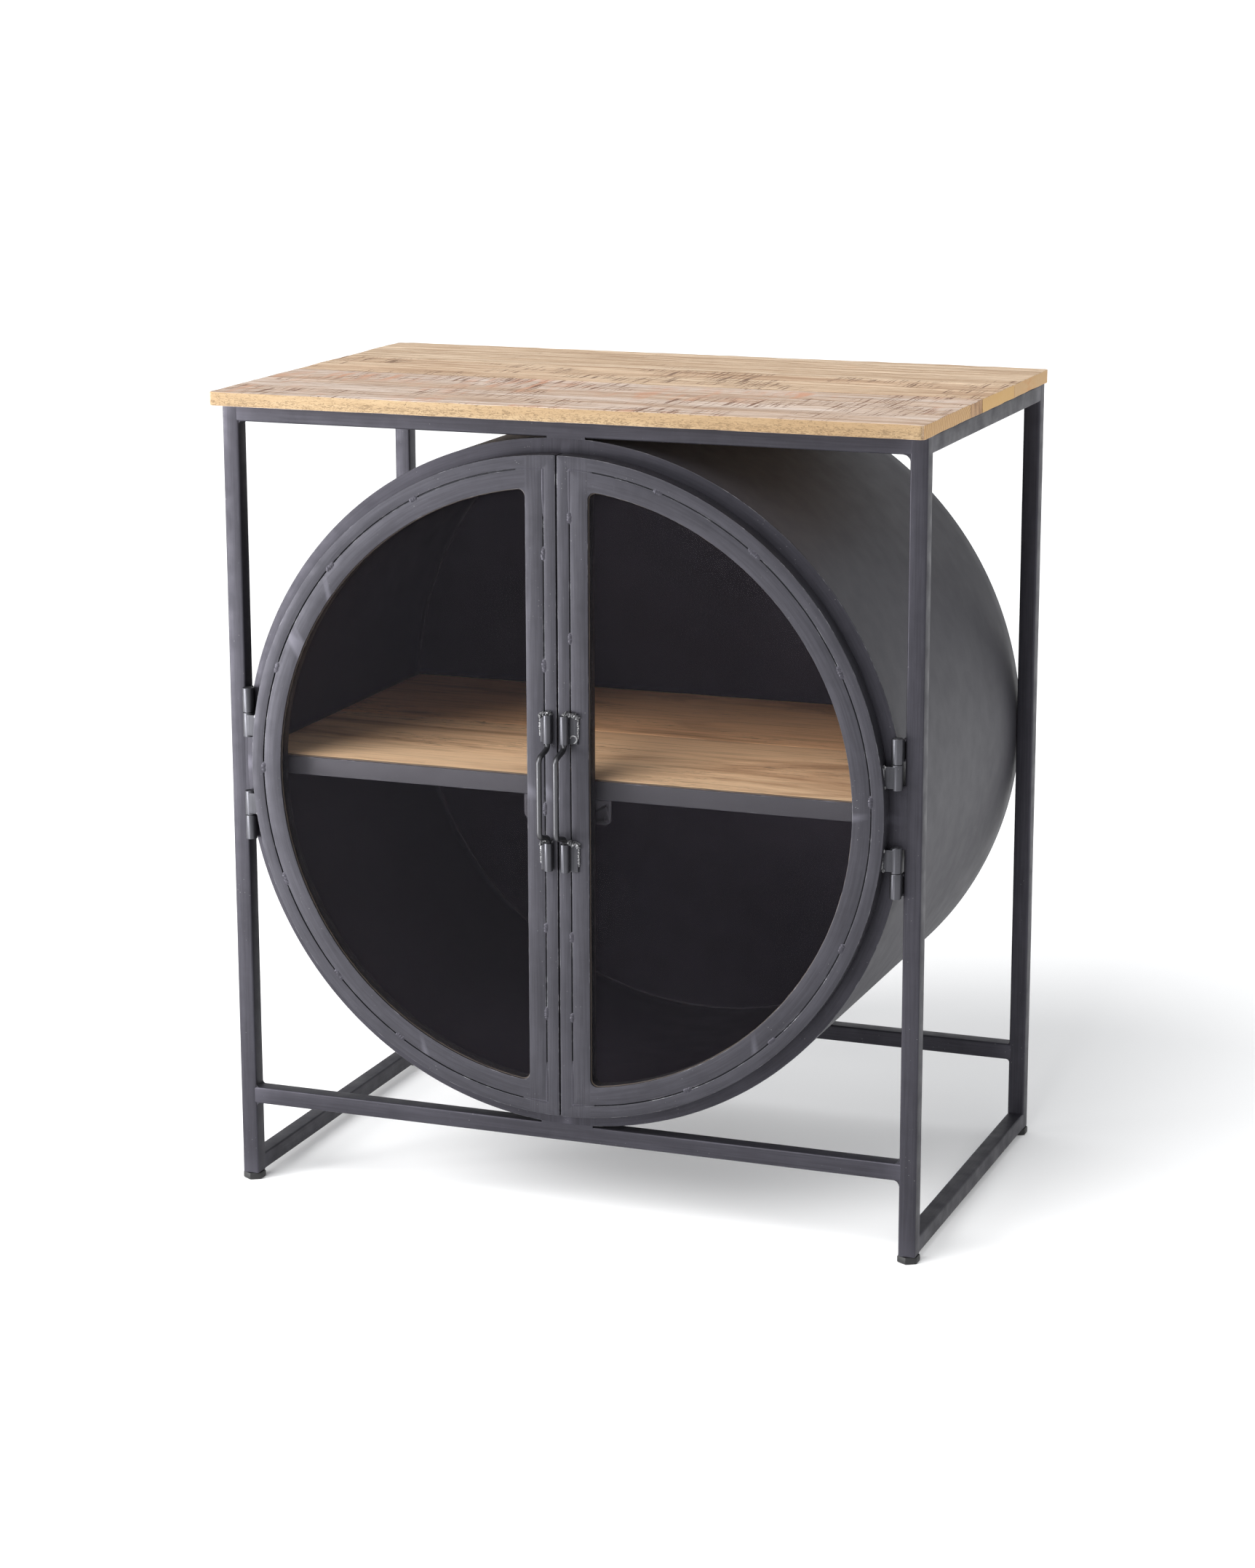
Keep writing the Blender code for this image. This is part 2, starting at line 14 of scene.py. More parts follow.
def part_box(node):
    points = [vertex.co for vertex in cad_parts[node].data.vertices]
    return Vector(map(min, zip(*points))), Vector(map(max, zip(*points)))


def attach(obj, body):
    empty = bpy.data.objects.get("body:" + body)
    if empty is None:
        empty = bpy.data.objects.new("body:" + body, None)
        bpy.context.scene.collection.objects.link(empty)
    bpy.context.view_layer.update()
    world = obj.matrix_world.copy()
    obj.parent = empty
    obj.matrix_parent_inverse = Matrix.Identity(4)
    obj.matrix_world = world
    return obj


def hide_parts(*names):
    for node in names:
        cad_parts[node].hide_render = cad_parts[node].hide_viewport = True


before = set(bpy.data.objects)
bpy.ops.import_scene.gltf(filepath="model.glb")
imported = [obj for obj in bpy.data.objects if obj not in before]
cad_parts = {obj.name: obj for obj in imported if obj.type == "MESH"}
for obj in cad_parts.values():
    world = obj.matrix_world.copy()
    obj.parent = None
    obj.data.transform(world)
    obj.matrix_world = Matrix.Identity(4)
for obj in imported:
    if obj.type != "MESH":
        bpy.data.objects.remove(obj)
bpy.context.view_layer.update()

# ---- the frame's own sizes ----
SIDES = {"left": -1, "right": 1}
LEVELS = {"upper": 1, "lower": -1}
ENDS = ("front", "rear")

POST_LOW, POST_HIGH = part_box("post_front_right")
TUBE = POST_HIGH.x - POST_LOW.x
FRAME_HALF = POST_HIGH.x
INNER_HALF = POST_LOW.x
FRONT = POST_LOW.y
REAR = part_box("post_rear_right")[1].y
SHELL_LOW, SHELL_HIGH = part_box("drum_shell")
DRUM_R = SHELL_HIGH.x
CENTRE_Z = (SHELL_LOW.z + SHELL_HIGH.z) / 2
RING_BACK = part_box("drum_front_ring")[1].y
RIM_LOW, RIM_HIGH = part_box("door_right_outer_frame")
STRIP_LOW, STRIP_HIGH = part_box("door_right_inner_frame")
PANE_LOW, PANE_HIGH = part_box("door_right_glass")
DOOR_EDGE = RIM_LOW.x
DOOR_FRONT = RIM_LOW.y
DOOR_BACK = RIM_HIGH.y
DOOR_R = math.hypot(DOOR_EDGE, RIM_HIGH.z - CENTRE_Z)
STRIP_STEP = STRIP_LOW.x - DOOR_EDGE         # from the door's edge to the inner strip
PANE_STEP = PANE_LOW.x - DOOR_EDGE
STRIP_BACK = STRIP_HIGH.y
TOP_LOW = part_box("top_plank_front")[0]
TOP_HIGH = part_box("top_plank_rear")[1]
SHELF_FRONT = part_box("shelf_plank_front")[0].y

# ---- fine sizes ----
TUBE_CORNER = 0.0020
WELD_IN = 0.0019             # rails run this far into a post's rounded corner, as ground welds do
SHEET = 0.0015
RING_FACE = 0.026
OUTER_STRIP = 0.0135
INNER_STRIP = 0.020
STRIP_T = 0.003
SLIT_WIDER = 0.0002          # the ground slit is a little wider than the clean cut
SLIT_BACKING = 0.0010        # the inner strip reaches behind the slit, to keep light out
LIP_T = 0.0015               # edge of the glazing frame behind the pane
HAIR = 0.0001                # by which neighbouring surfaces clear or overlap each other
EDGE_R = 0.00045             # rounding of strips and plates
TOP_CORNER_R = 0.0055        # plan corners of the top
TOP_JOINT = 0.00014          # half the line between two glued planks
PLANK_SEAM = 0.0003          # the CAD's gap between two planks
STILE_CORNER_R = 0.0010      # half-round outlines where the arc meets the stile
GLASS_CORNER_R = 0.0080
ROD_R = 0.003
PIN_R = 0.003
RUNNING_GAP = 0.0001         # round a pin or a rod in its bore
LEAF_T = 0.0028
LEAF_IN = 0.002              # a leaf ends this far inside its barrel's ends
JOG_DROP = 0.0055
JOG_SLOPE = 0.006
LEFT_LEAF_TRIM = 0.0045      # the left sockets' plates are cut shorter than the right ones
BEND_R = 0.0075

ARC_STEPS = 150
CORNER_STEPS = 8
STILE_STEPS = 60
DRUM_STEPS = 240
DRUM_RINGS = 24
FILL_STEPS = 24
FILLET_STEPS = 8
HOLE_STEPS = 24
FLOOR_STEPS = 64
BARREL_STEPS = 40
PIN_STEPS = 32
ROD_STEPS = 20
BEND_STEPS = 8
BEAD_STEPS = 12
BEAD_PITCH = 0.0006
RIPPLE_PITCH = 0.0014
BAR_PITCH = 0.02
SHARP_ANGLE = math.radians(38)
WOOD_SHARP = math.radians(60)
ALL = (0.0, 1.0)             # levels of a value that is a share already


# ---- materials ----
class Tree:
    """A material's node tree with short calls for the nodes used here."""

    def __init__(self, name):
        self.material = bpy.data.materials.new(name)
        self.material.use_nodes = True
        self.tree = self.material.node_tree
        self.shader = self.tree.nodes["Principled BSDF"]
        coordinates = self.node("TexCoord")
        self.place = coordinates.outputs["Object"]
        self.facing = coordinates.outputs["Normal"]

    def feed(self, socket, value):
        """Links a node's output to a socket, or sets the socket's own value."""
        if isinstance(value, bpy.types.NodeSocket):
            self.tree.links.new(value, socket)
        else:
            socket.default_value = value

    def node(self, kind, inputs=None, **settings):
        made = self.tree.nodes.new("ShaderNode" + kind)
        for key, value in settings.items():
            setattr(made, key, value)
        for key, value in (inputs or {}).items():
            self.feed(made.inputs[key], value)
        return made

    def mapped(self, scale=(1, 1, 1), turn=(0, 0, 0), shift=(0, 0, 0)):
        inputs = {"Vector": self.place, "Scale": scale, "Rotation": turn, "Location": shift}
        return self.node("Mapping", inputs).outputs["Vector"]

    def noise_at(self, place, detail, roughness, distortion=0.0):
        inputs = {"Vector": place, "Scale": 1.0, "Detail": detail, "Roughness": roughness,
                  "Distortion": distortion}
        return self.node("TexNoise", inputs).outputs["Fac"]

    def noise(self, scale, detail=3.0, roughness=0.55, distortion=0.0, turn=(0, 0, 0),
              shift=(0, 0, 0)):
        """Noise whose features are about 1 / scale metres long on each axis."""
        scale = scale if isinstance(scale, tuple) else (scale,) * 3
        return self.noise_at(self.mapped(scale, turn, shift), detail, roughness, distortion)

    def cells(self, scale, shift):
        """Distance from the nearest of many scattered points."""
        inputs = {"Vector": self.mapped(scale, shift=shift), "Scale": 1.0}
        return self.node("TexVoronoi", inputs).outputs["Distance"]

    def spots(self, scale, size, shift=(0, 0, 0)):
        """1 in small round spots, 0 elsewhere."""
        return self.levels(self.cells((scale,) * 3, shift), size, size * 0.5)

    def levels(self, value, low, high, to_low=0.0, to_high=1.0):
        inputs = {"Value": value, "From Min": low, "From Max": high,
                  "To Min": to_low, "To Max": to_high}
        return self.node("MapRange", inputs, clamp=True).outputs["Result"]

    def maths(self, operation, first, second=0.0):
        return self.node("Math", {0: first, 1: second}, operation=operation).outputs["Value"]

    def times(self, first, second):
        return self.maths("MULTIPLY", first, second)

    def part(self, vector, axis):
        return self.node("SeparateXYZ", {"Vector": vector}).outputs[axis]

    def sideways(self, axis):
        """How far a face looks along an axis, either way."""
        return self.maths("ABSOLUTE", self.part(self.facing, axis))

    def pointiness(self):
        """Above 0.5 on convex edges."""
        return self.node("NewGeometry").outputs["Pointiness"]

    def mix(self, share, first, second):
        first, second = [tone if isinstance(tone, bpy.types.NodeSocket) else (*tone, 1.0)
                         for tone in (first, second)]
        return self.node("Mix", {0: share, 6: first, 7: second}, data_type="RGBA").outputs[2]

    def layers(self, colour, *layers):
        """Lays tones over a colour: none of one below its value's low level, most above the high."""
        for value, (low, high), most, tone in layers:
            colour = self.mix(self.levels(value, low, high, 0.0, most), colour, tone)
        return colour

    def bump(self, height, distance, strength, under=None):
        inputs = {"Strength": strength, "Distance": distance, "Height": height}
        if under is not None:
            inputs["Normal"] = under
        return self.node("Bump", inputs).outputs["Normal"]

    def finish(self, colour, roughness, metallic=0.0, normal=None, **plain):
        inputs = {"Base Color": colour, "Roughness": roughness, "Metallic": metallic}
        if normal is not None:
            inputs["Normal"] = normal
        inputs.update({key.replace("_", " "): value for key, value in plain.items()})
        for key, value in inputs.items():
            self.feed(self.shader.inputs[key], value)
        return self.material


def shade(tone, *factors):
    """A tone times one factor, or times one factor for each channel, never above 1."""
    factors = factors if len(factors) > 1 else factors * 3
    return tuple(min(channel * factor, 1.0) for channel, factor in zip(tone, factors))


BRUSHED = {"X": (14.0, 520.0, 520.0), "Y": (520.0, 14.0, 520.0), "Z": (520.0, 520.0, 14.0)}
SPECK_TONE = (0.34, 0.33, 0.33)


def steel(name, tone, along="Z", metallic=0.62, rough=(0.40, 0.56), glint_and_wear=1.9):
    """Dark clear-coated steel: cloudy, with fine lines along one axis, specks, and convex edges
    painted lighter, a painted highlight that also stands for wear.
    """
    t = Tree(name)
    lines = arc_lines(t) if along == "ARC" else t.noise(BRUSHED[along], 3.0, 0.6)
    specks = t.times(t.spots(210.0, 0.10), t.levels(t.noise(25.0), 0.52, 0.62, 0.0, 0.5))
    colour = t.layers(
        shade(tone, 0.86),
        (t.noise(9.0, 4.0), (0.32, 0.68), 1.0, shade(tone, 1.14)),
        (t.noise(70.0, 5.0, 0.65, shift=(3, 7, 1)), (0.40, 0.75), 0.35, shade(tone, 1.35)),
        (lines, (0.40, 0.62), 0.42, shade(tone, 0.55)),
        # convex edges lighter: a painted edge highlight, partly wear
        (t.pointiness(), (0.52, 0.60), 0.75, shade(tone, glint_and_wear)),
        (specks, ALL, 1.0, SPECK_TONE))
    roughness = t.levels(t.noise(40.0, 4.0, shift=(9, 2, 5)), 0.3, 0.7, *rough)
    normal = t.bump(lines, 0.00004, 0.35)
    normal = t.bump(t.noise(140.0, 4.0), 0.00015, 0.25, normal)
    return t.finish(colour, roughness, metallic, normal, Specular_IOR_Level=0.25)


def arc_lines(t):
    """Grinding lines that follow the drum's round and turn upright on the doors' stiles."""
    centred = t.mapped(shift=(0, 0, -CENTRE_Z))
    x, z = t.part(centred, "X"), t.part(centred, "Z")
    radius = t.maths("SQRT", t.maths("ADD", t.times(x, x), t.times(z, z)))
    across, along = 480.0, 5.5
    polar = {"X": t.times(radius, across), "Y": t.times(t.maths("ARCTAN2", x, z), along),
             "Z": t.times(t.part(t.place, "Y"), across)}
    polar = t.node("CombineXYZ", polar).outputs["Vector"]
    on_stile = t.maths("LESS_THAN", t.maths("ABSOLUTE", x), DOOR_EDGE + STRIP_STEP + INNER_STRIP)
    choice = {0: on_stile, 2: t.noise_at(polar, 3.0, 0.6), 3: t.noise(BRUSHED["Z"], 3.0, 0.6)}
    return t.node("Mix", choice, data_type="FLOAT").outputs[0]


def glint_and_wear_edge(name, tone):
    """Arrises painted bright in places: a painted edge highlight that also stands for metal rubbed
    through.
    """
    t = Tree(name)
    rubbed = t.noise(55.0, 5.0, 0.7, shift=(4, 4, 4))
    fine = t.noise(420.0)
    colour = t.layers(
        shade(tone, 0.9),
        (rubbed, (0.53, 0.68), 1.0, (0.20, 0.20, 0.215)),
        (fine, (0.5, 0.7), 0.5, tone))
    return t.finish(colour, t.levels(fine, 0.3, 0.7, 0.36, 0.52), 0.8, t.bump(fine, 0.0002, 0.3))


def drum_sheet(name, outside, inside):
    """Satin sheet steel outside; inside, a dark tone that is painted shade, with dust specks; the
    distance from the axis decides.
    """
    t = Tree(name)
    centred = t.mapped((1, 0, 1), shift=(0, 0, -CENTRE_Z))
    radius = t.node("VectorMath", {0: centred}, operation="LENGTH").outputs["Value"]
    is_outside = t.maths("MAXIMUM", t.levels(radius, DRUM_R - SHEET * 0.6, DRUM_R - SHEET * 0.4),
                         t.levels(t.part(t.facing, "Y"), 0.5, 0.8))
    rubbed = t.noise(16.0, 7.0, 0.7, shift=(2, 5, 8))
    mottle = t.noise(38.0, 4.0)
    flecks = t.times(t.spots(190.0, 0.085, (3, 3, 3)), t.levels(rubbed, 0.52, 0.60, 0.0, 0.35))
    specks = t.times(t.spots(150.0, 0.10, (1, 1, 1)), t.levels(mottle, 0.5, 0.6, 0.0, 0.05))
    satin = t.layers(
        shade(outside, 0.90),
        (t.noise(4.0, 5.0, 0.6), (0.3, 0.7), 1.0, shade(outside, 1.10)),
        (rubbed, (0.5, 0.75), 0.06, shade(outside, 1.5)),
        (flecks, ALL, 1.0, (0.30, 0.30, 0.31)))
    # inside: a dark tone that is painted shade, with dust specks
    soiled_and_painted_light = t.layers(
        shade(inside, 0.92),
        (mottle, (0.35, 0.75), 1.0, shade(inside, 1.20)),
        (specks, ALL, 1.0, (0.20, 0.19, 0.19)))
    normal = t.bump(t.noise(3.0, 2.0), 0.002, 0.25)
    normal = t.bump(t.noise(90.0, 2.0), 0.0001, 0.05, normal)
    roughness = t.levels(mottle, 0.3, 0.7, 0.48, 0.55)
    colour = t.mix(is_outside, soiled_and_painted_light, satin)
    return t.finish(colour, roughness, 0.55, normal, Specular_IOR_Level=0.22)


def weld_steel(name, tone):
    """Lumpy weld metal under the clear coat, brighter on its high spots, with a painted highlight on
    its convex edges.
    """
    t = Tree(name)
    lumps = t.noise(650.0, 4.0, 0.6)
    colour = t.layers(
        shade(tone, 0.6),
        (lumps, (0.35, 0.7), 1.0, shade(tone, 1.6)),
        # convex edges lighter: painted highlight
        (t.pointiness(), (0.51, 0.58), 0.6, (0.40, 0.40, 0.41)))
    return t.finish(colour, t.levels(lumps, 0.3, 0.7, 0.34, 0.54), 0.75, t.bump(lumps, 0.0003, 0.5))


def sawn_wood(name, pale, warm, rust, lines, bands, shift):
    """Rough-sawn plank with its grain along X.

    lines and bands are the (low, high) noise levels where fine saw lines across the grain and wider
    rusty bands show; a lower pair covers more of the plank.
    """
    t = Tree(name)
    away = (shift, shift * 0.7, 0.0)
    slant = (0.0, 0.0, 0.075)
    figure = t.noise((2.4, 30.0, 30.0), 5.0, 0.6, 0.5, shift=away)
    streaks = t.noise((3.2, 120.0, 120.0), 6.0, 0.78, 0.3, shift=away)
    grain = t.noise((9.0, 330.0, 330.0), 4.0, 0.75, shift=away)
    pores = t.noise((120.0, 1500.0, 1500.0), 2.0, shift=away)
    band = t.noise((62.0, 8.0, 8.0), 5.0, 0.6, 0.35, slant, away)
    band_patch = t.noise((5.5, 9.0, 1.0), 3.0, 0.6, shift=(shift * 2 + 4, 1, 0))
    saw = t.noise((430.0, 11.0, 11.0), 2.0, 0.5, 0.12, slant, away)
    saw_patch = t.noise((7.5, 12.0, 1.0), shift=(shift * 3 + 1, 2, 0))
    up = t.levels(t.part(t.facing, "Z"), 0.6, 0.9)
    band = t.times(t.times(t.levels(band, 0.47, 0.62), t.levels(band_patch, *bands)), up)
    saw = t.times(t.times(t.levels(saw, 0.56, 0.60), t.levels(saw_patch, *lines)), up)
    deep = shade(warm, 0.55, 0.46, 0.37)
    colour = t.layers(
        warm,
        (figure, (0.38, 0.64), 1.0, pale),
        (streaks, (0.50, 0.60), 0.85, deep),
        (streaks, (0.46, 0.36), 0.75, shade(pale, 1.32)),
        (grain, (0.50, 0.60), 0.80, deep),
        (pores, (0.60, 0.72), 0.6, shade(warm, 0.35)),
        (band, ALL, 0.72, shade(rust, 1.9, 1.75, 1.7)),
        (saw, ALL, 0.95, shade(rust, 0.62)),
        (t.sideways("Y"), (0.6, 0.9), 1.0, long_edge(t, figure)),
        (t.sideways("X"), (0.7, 0.9), 1.0, end_grain(t)))
    height = t.times(grain, 0.4)
    for mark, depth in ((saw, 1.0), (band, 0.4), (streaks, 0.6)):
        height = t.maths("SUBTRACT", height, t.times(mark, depth))
    normal = t.bump(pores, 0.0003, 0.35, t.bump(height, 0.0007, 0.6))
    roughness = t.levels(grain, 0.3, 0.7, 0.60, 0.76)
    return t.finish(colour, roughness, 0.0, normal, Specular_IOR_Level=0.35)


def long_edge(t, figure):
    """The top's long edges: golden, with short wavy dark dashes that crowd below a clearer band."""
    height = t.levels(t.part(t.place, "Z"), TOP_LOW.z, TOP_HIGH.z)
    crowd = t.levels(height, 0.75, 0.45, 0.0, 0.060)
    dashes = t.maths("ADD", t.noise((190.0, 400.0, 640.0), 5.0, 0.75, 1.1), crowd)
    holes = t.times(t.spots(230.0, 0.16, (2, 0, 1)), t.levels(t.noise(22.0), 0.50, 0.60))
    # Its tones are darker than the top's face: painted shade, so that this upright face, which meets
    # the front light, reads as dark as the top.
    return t.layers(
        (0.30, 0.20, 0.105),
        (figure, (0.4, 0.6), 1.0, (0.37, 0.265, 0.150)),
        (t.noise((60.0, 900.0, 1100.0)), (0.48, 0.66), 0.40, (0.22, 0.14, 0.065)),
        (dashes, (0.535, 0.63), 0.65, (0.105, 0.062, 0.028)),
        (holes, ALL, 0.85, (0.040, 0.026, 0.017)))


def end_grain(t):
    """The top's short edges: glued strips of unlike tone with faint growth rings."""
    share = t.levels(t.part(t.place, "Y"), TOP_LOW.y, TOP_HIGH.y)
    wave = {"Vector": t.mapped((1, 1, 2.2), shift=(0, 0.05, -1.95)), "Scale": 46.0,
            "Distortion": 3.0, "Detail": 4.0, "Detail Scale": 2.0}
    rings = t.node("TexWave", wave, wave_type="RINGS", rings_direction="X").outputs["Fac"]
    stripes = t.noise((0.0, 150.0, 35.0), turn=(0.5, 0.0, 0.0))
    brown = t.layers((0.23, 0.12, 0.06), (stripes, (0.40, 0.60), 1.0, (0.46, 0.28, 0.15)))
    tone = t.layers((0.44, 0.255, 0.105), (rings, (0.2, 0.9), 1.0, (0.56, 0.36, 0.175)))
    strips = ((0.345, 0.44, brown), (0.44, 0.70, (0.58, 0.36, 0.135)),
              (0.704, 1.0, (0.53, 0.34, 0.165)))
    for start, stop, strip_tone in strips:
        inside = t.times(t.maths("GREATER_THAN", share, start), t.maths("LESS_THAN", share, stop))
        tone = t.layers(tone, (inside, ALL, 0.88, strip_tone))
    glow = t.times(t.levels(share, 0.76, 0.82), t.levels(share, 0.90, 0.84))
    glow = t.times(glow, t.levels(t.noise((0.0, 30.0, 90.0)), 0.42, 0.60))
    return t.layers(tone, (glow, ALL, 0.7, (0.52, 0.24, 0.075)))


def shelf_wood(name, front_tone, rear_tone, shift):
    """Oiled shelf plank: warm and lighter at the front, brown with dark grain towards the back."""
    t = Tree(name)
    away = (shift, shift, 0.0)
    figure = t.noise((2.6, 15.0, 15.0), 6.0, 0.62, 0.9, shift=away)
    grain = t.noise((7.0, 190.0, 190.0), 5.0, 0.68, shift=away)
    knots = t.cells((3.2, 9.0, 0.0), (shift + 0.35, 0.4, 0.0))
    y = t.part(t.place, "Y")
    depth = t.maths("ADD", y, t.levels(figure, 0.2, 0.8, -0.05, 0.05))
    # A dark line along the shelf's front edge, where the angle meets it: painted shade in that gap.
    gap_shade = t.maths("ADD", y, t.levels(figure, 0.2, 0.8, -0.0008, 0.0008))
    crackle = t.times(t.levels(t.noise((45.0, 300.0, 1.0), 5.0, 0.75, 0.6), 0.56, 0.62),
                      t.levels(t.noise((5.0, 14.0, 1.0), shift=(1, 6, 0)), 0.48, 0.60))
    colour = t.layers(
        front_tone,
        (depth, (SHELF_FRONT + 0.03, SHELF_FRONT + 0.20), 1.0, rear_tone),
        (figure, (0.50, 0.68), 0.85, shade(rear_tone, 0.34, 0.26, 0.21)),
        (grain, (0.50, 0.68), 0.48, shade(rear_tone, 0.34)),
        (knots, (0.12, 0.04), 0.8, shade(rear_tone, 0.22)),
        (crackle, ALL, 0.8, shade(rear_tone, 0.16)),
        # painted shade along the front edge
        (gap_shade, (SHELF_FRONT + 0.0034, SHELF_FRONT + 0.0020), 0.9, (0.020, 0.014, 0.010)))
    return t.finish(colour, t.levels(grain, 0.3, 0.7, 0.42, 0.60), 0.0, t.bump(grain, 0.0003, 0.45))


def coating(name, tone, rough=0.5):
    """Dull scuffed plastic, paint or sealant."""
    t = Tree(name)
    scuffs = t.noise((60.0, 60.0, 300.0), 4.0)
    colour = t.layers(tone, (scuffs, (0.5, 0.75), 0.6, shade(tone, 1.7)))
    roughness = t.levels(scuffs, 0.3, 0.7, rough, rough + 0.15)
    return t.finish(colour, roughness, 0.0, t.bump(t.noise(900.0), 0.0001, 0.3))


def zinc(name):
    t = Tree(name)
    spangle = t.noise(320.0, 2.0)
    colour = t.layers((0.32, 0.31, 0.27), (spangle, (0.35, 0.65), 1.0, (0.52, 0.51, 0.47)))
    roughness = t.levels(spangle, 0.3, 0.7, 0.25, 0.45)
    return t.finish(colour, roughness, 0.9, t.bump(spangle, 0.0001, 0.3))


def clear_glass(name):
    """A flat pane: light passes straight, low angles mirror a little, and a faint film, part dust
    and part painted reflection, lightens it evenly.
    """
    t = Tree(name)
    t.tree.nodes.remove(t.shader)
    facing = t.node("LayerWeight", {"Blend": 0.5}).outputs["Facing"]
    mirrored = t.levels(t.maths("POWER", facing, 5.0), 0.012, 0.6, 0.0, 0.10)
    clear = t.node("BsdfTransparent", {"Color": (0.975, 0.965, 0.978, 1.0)})
    mirror = t.node("BsdfGlossy", {"Color": (0.86, 0.83, 0.90, 1.0), "Roughness": 0.06})
    # A faint diffuse film: dust, and a painted reflection that lightens the pane evenly.
    reflection_and_soil_film = t.node("BsdfDiffuse", {"Color": (0.50, 0.475, 0.55, 1.0)})
    film_share = t.levels(t.noise((6.0, 6.0, 9.0), 6.0, 0.7), 0.45, 0.8, 0.0050, 0.0062)
    film_share = t.maths("ADD", film_share, t.times(t.spots(120.0, 0.05), 0.05))
    pane = t.node("MixShader", {0: mirrored, 1: clear.outputs[0], 2: mirror.outputs[0]})
    soiled_and_painted_light = t.node("MixShader", {0: film_share, 1: pane.outputs[0], 2: reflection_and_soil_film.outputs[0]})
    t.feed(t.tree.nodes["Material Output"].inputs["Surface"], soiled_and_painted_light.outputs[0])
    return t.material


STEEL_TONE = (0.0385, 0.0370, 0.0455)
# The drum's inside tone is darker than its outside: painted shade.
DRUM_INSIDE_SHADE = (0.0180, 0.0155, 0.0215)
STAND = {axis: steel("stand_steel_" + axis.lower(), STEEL_TONE, axis) for axis in "XYZ"}
# Bright arris material: a painted edge highlight, partly wear.
GLINT_AND_WEAR_EDGE = glint_and_wear_edge("glint_and_wear_edge_steel", (0.055, 0.055, 0.063))
RING_STEEL = steel("ring_steel", (0.0345, 0.0330, 0.0410), "ARC")
PATCH_STEEL = {axis: steel("patch_steel_" + axis.lower(), STEEL_TONE, axis, glint_and_wear=1.0)
               for axis in "XZ"}
DOOR_STEEL = steel("door_steel", (0.0430, 0.0418, 0.0500), "ARC", glint_and_wear=2.1)
PLATE_STEEL = steel("plate_steel", (0.0250, 0.0250, 0.0268), "X", rough=(0.45, 0.6))
CATCH_STEEL = steel("catch_steel", (0.0120, 0.0118, 0.0130), "X", rough=(0.5, 0.65), glint_and_wear=5.0)
SHELL_STEEL = drum_sheet("drum_sheet", (0.058, 0.0565, 0.0650), DRUM_INSIDE_SHADE)
# The back seam's dark finish is painted shade, as dark as the drum's inside.
SHADED_SEAM = coating("shaded_seam", (0.0200, 0.0175, 0.0230), 0.62)
BACK_STEEL = drum_sheet("drum_back_sheet", (0.050, 0.0490, 0.0560), DRUM_INSIDE_SHADE)
TACK_STEEL = steel("tack_steel", (0.0390, 0.0375, 0.0460), glint_and_wear=2.6)
HINGE_STEEL = steel("hinge_steel", (0.060, 0.060, 0.067), "Z", 0.85, (0.34, 0.48), 2.6)
ROD_STEEL = steel("rod_steel", (0.070, 0.070, 0.075), "Z", 0.85, (0.29, 0.42), 2.4)
WELD_STEEL = weld_steel("weld_steel", (0.105, 0.105, 0.110))
BLACK_PLASTIC = coating("black_plastic", (0.0075, 0.0075, 0.0080))
ZINC = zinc("zinc")
GLASS = clear_glass("clear_glass")
SEALANT = coating("old_sealant", (0.050, 0.036, 0.028), 0.55)
TOP_LOOKS = {                # as in sawn_wood, from pale on
    "front": ((0.62, 0.52, 0.45), (0.53, 0.39, 0.29), (0.27, 0.13, 0.07),
              (0.47, 0.55), (0.48, 0.62), 0.0),
    "middle": ((0.65, 0.50, 0.35), (0.55, 0.38, 0.25), (0.25, 0.135, 0.075),
               (0.48, 0.54), (0.64, 0.78), 3.1),
    "rear": ((0.64, 0.50, 0.36), (0.54, 0.39, 0.26), (0.27, 0.145, 0.08),
             (0.60, 0.68), (0.62, 0.76), 7.7),
}
SHELF_LOOKS = {              # as in shelf_wood, from front_tone on
    "front": ((0.86, 0.60, 0.34), (0.96, 0.60, 0.31), 0.0),
    "rear": ((1.0, 0.61, 0.31), (0.98, 0.56, 0.27), 4.0),
}
TOP_WOOD = {name: sawn_wood("top_wood_" + name, *look) for name, look in TOP_LOOKS.items()}
SHELF_WOOD = {name: shelf_wood("shelf_wood_" + name, *look) for name, look in SHELF_LOOKS.items()}


# ---- outlines and sections ----
def angles(steps):
    """Evenly spaced angles of a full turn."""
    return [2 * math.pi * step / steps for step in range(steps)]


def circle(radius, steps, u=0.0, v=0.0):
    return [(u + radius * math.cos(a), v + radius * math.sin(a)) for a in angles(steps)]


def drum_circle(radius):
    """Points (x, z) round the drum's axis."""
    return circle(radius, DRUM_STEPS, 0.0, CENTRE_Z)


def corner_arc(before, corner, after, radius):
    """The centre of the arc that rounds a corner, and the arc's two ends as seen from it."""
    back = (before - corner).normalized()
    ahead = (after - corner).normalized()
    half = back.angle(ahead) / 2
    centre = corner + (back + ahead).normalized() * (radius / math.sin(half))
    reach = radius / math.tan(half)
    return centre, corner + back * reach - centre, corner + ahead * reach - centre


def rounded(corners, radius, steps=3):
    """A closed flat outline with each corner turned into an arc."""
    corners = [Vector(corner) for corner in corners]
    points = []
    for before, corner, after in zip(corners[-1:] + corners, corners, corners[1:] + corners[:1]):
        centre, start, end = corner_arc(before, corner, after, radius)
        sweep_angle = math.atan2(start.x * end.y - start.y * end.x, start.dot(end))
        for step in range(steps + 1):
            points.append(centre + Matrix.Rotation(sweep_angle * step / steps, 2) @ start)
    return points


